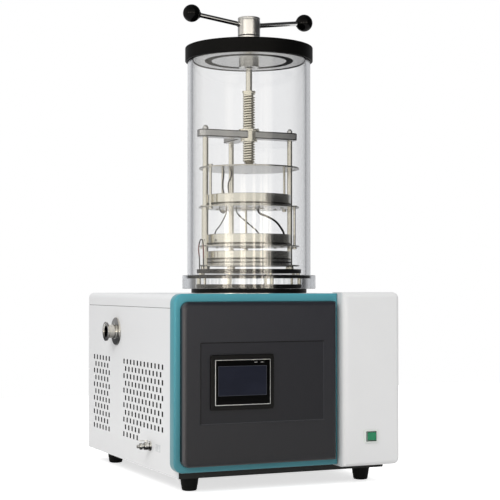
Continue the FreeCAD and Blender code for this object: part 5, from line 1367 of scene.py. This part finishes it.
# ------------------------------------------------------------------------------------------------
# Ports, feet and fixings
# ------------------------------------------------------------------------------------------------
def build_ports():
    wall = CAB_LOW.x
    # Outlines are (radius, distance outwards from the wall).
    bm = start()
    spun(bm, [(12.5, -12), (14, -12), (14, 0), (29, 0), (29, 2.2), (28, 3), (17.2, 3), (15, 3.6), (14, 5),
              (14, 18.2), (20, 21.4), (20, 24), (16.2, 24), (16.2, 23.4), (13.2, 23.4), (12.5, 22.8)],
         (wall, *middle_of("vacuum_port")), LEFT, steps=128, soft=0.35)
    piece("vacuum_nipple", bm, "machine", NIPPLE_STEEL, ["vacuum_port"], "plated")
    at = Vector((wall, *middle_of("drain_valve_body")))
    bm = start()
    spun(bm, [(2.5, -14), (4.5, -14), (4.5, 0), (9.5, 0), (9.5, 2.4), (9, 3), (5.6, 3.2), (5.6, 4), (7, 4.8),
              (7.5, 6.4), (7.5, 11.4), (7, 13), (5.6, 13.8), (4, 14.2), (4, 15.8), (5.6, 16.2), (6.7, 17.4),
              (6.7, 20.6), (5.8, 21.8), (3.5, 22.2), (3.5, 27), (2.5, 27)], at, LEFT, steps=64, soft=0.25)
    # The stem stands on the body, and the lever on the stem.
    stem_out = 8.5 * MM
    rod(bm, at - Vector((stem_out, 0, 0)), at - Vector((stem_out, 0, -7.4 * MM)), 3.2, 32, 0.3)
    piece("drain_valve", bm, "machine", VALVE_PLATING, ["drain_valve_body"], "plated")
    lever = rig.box("drain_valve_lever")[0]
    stem = Vector((wall - stem_out, at.y, lever.z))
    bm = start()
    rod(bm, stem, stem + Vector((0, 0, 3.4 * MM)), 4, 32, 0.5)
    hexagon(bm, stem + Vector((0, 0, 3.0 * MM)), 4.6, 0.9, soft=0.2)
    block(bm, (lever.x, stem.y - 3 * MM, lever.z + 2 * MM), (stem.x, stem.y + 3 * MM, lever.z + 3.6 * MM),
          0.6, 3)
    piece("drain_lever_blade", bm, "drain_lever", VALVE_PLATING, ["drain_valve_lever"], "plated")
    # A bare plate beside the valve.
    y0, wide, half_tall = at.y - 56 * MM, 26 * MM, 7 * MM
    bm = start()
    block(bm, (wall - 0.4 * MM, y0, at.z - half_tall), (wall, y0 + wide, at.z + half_tall), 0.15, 1)
    piece("drain_plate", bm, "machine", LABEL)


def build_feet():
    lowest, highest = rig.box("rubber_feet")
    radius = 17.5 * MM
    bm = start()
    for x in (lowest.x + radius, highest.x - radius):
        for y in (lowest.y + radius, highest.y - radius):
            spun(bm, [(0, 0), (10.5, 0), (13.2, 0.8), (14.2, 2.8), (15.2, 10), (15.7, 11), (16.9, 21),
                      (17.5, 22.5), (17.5, 26), (0, 26)], (x, y, lowest.z), steps=64)
    close(bm)
    piece("foot_pads", bm, "machine", FOOT_RUBBER, ["rubber_feet"], "foot_rubber", crease=28)


def build_fixings():
    """Pan-head screws with cross slots on the rear sheet, and the screws of its two sockets."""
    screws, slots = start(), start()
    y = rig.box("rear_panel")[1].y
    for dx in (0.012, 0.215, 0.418):
        for dz in (0.040, 0.300):
            x, z = CAB_LOW.x + dx, CAB_LOW.z + dz
            rod(screws, (x, y, z), (x, y + 2.0 * MM, z), 3.4, 32, 0.9)
            for half_wide, half_tall in ((2.2 * MM, 0.4 * MM), (0.4 * MM, 2.2 * MM)):
                block(slots, (x - half_wide, y + 1.1 * MM, z - half_tall),
                      (x + half_wide, y + 4 * MM, z + half_tall))
    socket_face, socket_z = y + 3 * MM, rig.box("power_inlet")[0].z + 12 * MM
    for socket_x in (-0.143, -0.088):
        for dx in (-0.020, 0.020):
            rod(screws, (socket_x + dx, socket_face, socket_z),
                (socket_x + dx, socket_face + 1.2 * MM, socket_z), 2.6, 24, 0.4)
    carve(piece("rear_screws", screws, "machine", CHROME), slots)


build_drum()
build_lid()
build_handle()
build_screw()
build_rack_base()
build_columns()
build_crosshead()
build_press_nut()
build_shelves()
build_leads()
build_fascia()
build_screen()
build_switch()
build_ports()
build_feet()
build_fixings()

dress(WHITE, "side_panel_left", "side_panel_right", "top_cover", "rear_panel", "front_bulkhead")
dress(BLACK_SHEET, "base_tray")
dress(BLACK_PLASTIC, "fan_frame", "fan_blades", "power_inlet", "pump_outlet")
dress(BRUSHED, "trap_pot", "vacuum_pipe")
dress(COPPER, "evaporator_coil", "refrigerant_lines")
dress(FOAM, "trap_insulation")
dress(ENAMEL, "compressor")
dress(FIN_METAL, "condenser")
dress(BOARD, "control_board")


# ------------------------------------------------------------------------------------------------
# Studio
# ------------------------------------------------------------------------------------------------
# What metal and plastic mirror, by heading in degrees from +Y towards +X: bright walls on the left and a
# dark room on the right. At -180 and 180 is straight in front of the machine.
WALLS = [(-180, 0.84), (-160, 0.86), (-150, 0.90), (-110, 0.97), (-60, 0.97), (-36, 0.30), (-22, 0.18),
         (0, 0.74), (20, 0.74), (30, 0.62), (58, 0.52), (72, 0.12), (95, 0.05), (135, 0.05), (157, 0.06),
         (160, 0.84)]
WARM, COOL = (1.0, 0.965, 0.885), (0.965, 0.975, 1.0)
COOL_SIDE = (-30, 158)
# Tall lamp strips, by degrees from straight in front round by the left.
STRIPS = [(0, 0.9), (3, 0.5), (5, 0.0), (12, 0.0), (13, 0.9), (16, 0.9), (18, 0.1), (29, 0.1), (31, 1.0),
          (36, 0.7), (38, 1.0), (41, 0.1), (52, 0.1), (54, 0.7), (57, 0.5), (60, 1.0), (68, 1.0), (71, 0.2),
          (80, 0.1), (86, 0.0), (342, 0.0), (344, 0.6), (347, 0.2), (350, 0.9), (356, 0.9), (358, 0.2)]
STRIP_COLOUR = (1.0, 0.91, 0.76)


def build_floor():
    bm = start()
    bmesh.ops.create_grid(bm, x_segments=1, y_segments=1, size=1.9)
    mesh = bpy.data.meshes.new("studio_floor")
    bm.to_mesh(mesh)
    bm.free()
    floor = bpy.data.objects.new("studio_floor", mesh)
    scene.collection.objects.link(floor)
    # To the eye and in mirrors the floor is as white as the backdrop; its own shade adds the shadow.
    f = Finish("studio_floor")
    matt = f.skin(Base_Color=grey(0.86), Roughness=0.9, Specular_IOR_Level=0.1)
    # Gloss sees it a little greyer, which draws the clear drum's edges against it.
    glow = f.blend(f.light_path("Is Glossy Ray"), (1, 1, 1), grey(0.55))
    lift = f.node("Emission", Color=glow, Strength=FLOOR_LIFT).outputs[0]
    seen = (f.light_path("Is Camera Ray").highest(f.light_path("Is Glossy Ray"))
            .highest(f.light_path("Is Transmission Ray")))
    mesh.materials.append(f.show(f.join(seen, matt, f.add(matt, lift))))
    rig.stage(floor)


def lamp(name, place, size, power):
    """An area lamp that looks at the machine's middle and isn't seen itself."""
    data = bpy.data.lights.new(name, "AREA")
    data.shape, data.size, data.size_y, data.energy = "RECTANGLE", *size, power
    made = bpy.data.objects.new(name, data)
    made.visible_camera = made.visible_glossy = made.visible_transmission = False
    made.location = place
    made.rotation_euler = (Vector((0, 0, 0.35)) - Vector(place)).to_track_quat("-Z", "Y").to_euler()
    scene.collection.objects.link(made)


def build_room():
    """The eye sees white, matt surfaces an even grey, and mirrors the walls and the lamp strips."""
    world = bpy.data.worlds.new("studio_world")
    scene.world = world
    world.use_nodes = True
    sky = Nodes(world.node_tree)
    ways = sky.node("SeparateXYZ", Vector=sky.node("TexCoord").outputs["Generated"]).outputs
    x, y, z = (Value(sky, s) for s in ways)
    heading = (x.bearing(y) + math.pi) / TURN
    tinted = [((h + 180) / 360, scaled(COOL if COOL_SIDE[0] < h < COOL_SIDE[1] else WARM, level))
              for h, level in WALLS]
    walls = sky.node("ValToRGB", {"stops": tinted}, Fac=heading).outputs[0]
    overhead = 1.05 - 0.70 * ((z - 0.35) / 0.5).clamped()
    # Only a first bounce sees the strips, so they lie on the drum's outer face. They reach from just below
    # the horizon to some nine degrees above it, fade with height and end softly.
    glow = sky.node("ValToRGB", {"stops": [(h / 360, grey(v)) for h, v in STRIPS]}, Fac=heading).outputs[0]
    first_bounce = sky.light_path("Transmission Depth") < 0.5
    fade = 0.10 + 0.90 * ((0.085 - z) / 0.055).clamped()
    ends = ((0.165 - z) / 0.02).clamped() * ((z + 0.05) / 0.03).clamped()
    strips = STRIP_POWER * Value(sky, glow) * (first_bounce * fade * ends)

    def light(colour, strength):
        return sky.node("Background", Color=colour, Strength=strength).outputs[0]

    room = sky.add(light(walls, overhead), light(STRIP_COLOUR, strips))
    seen = sky.light_path("Is Camera Ray").highest(sky.light_path("Is Transmission Ray"))
    plain = sky.join(seen, light((1, 1, 1), 0.66), light((1, 1, 1), 1.0))
    mirrored = sky.light_path("Glossy Depth") > 0.5
    out = sky.node("OutputWorld")
    sky.feed(out.inputs[0], sky.join(mirrored, plain, room))
    world.cycles.sampling_method = "NONE"


flatten_faces()
build_floor()
lamp("key_lamp", (-2.15, -1.75, 2.3), (1.6, 1.6), 45)
lamp("fill_lamp", (2.3, -1.6, 1.5), (1.4, 1.8), 11)
lamp("top_lamp", (0.2, 0.6, 2.8), (2.0, 2.0), 15)
build_room()
scene.view_settings.view_transform = "Standard"

bpy.context.view_layer.update()
with open("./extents.json", "w") as sizes:
    json.dump({"cad": [list(map(float, corner)) for corner in cad_box],
               "visual": [list(map(float, corner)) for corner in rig.bounds()]}, sizes)
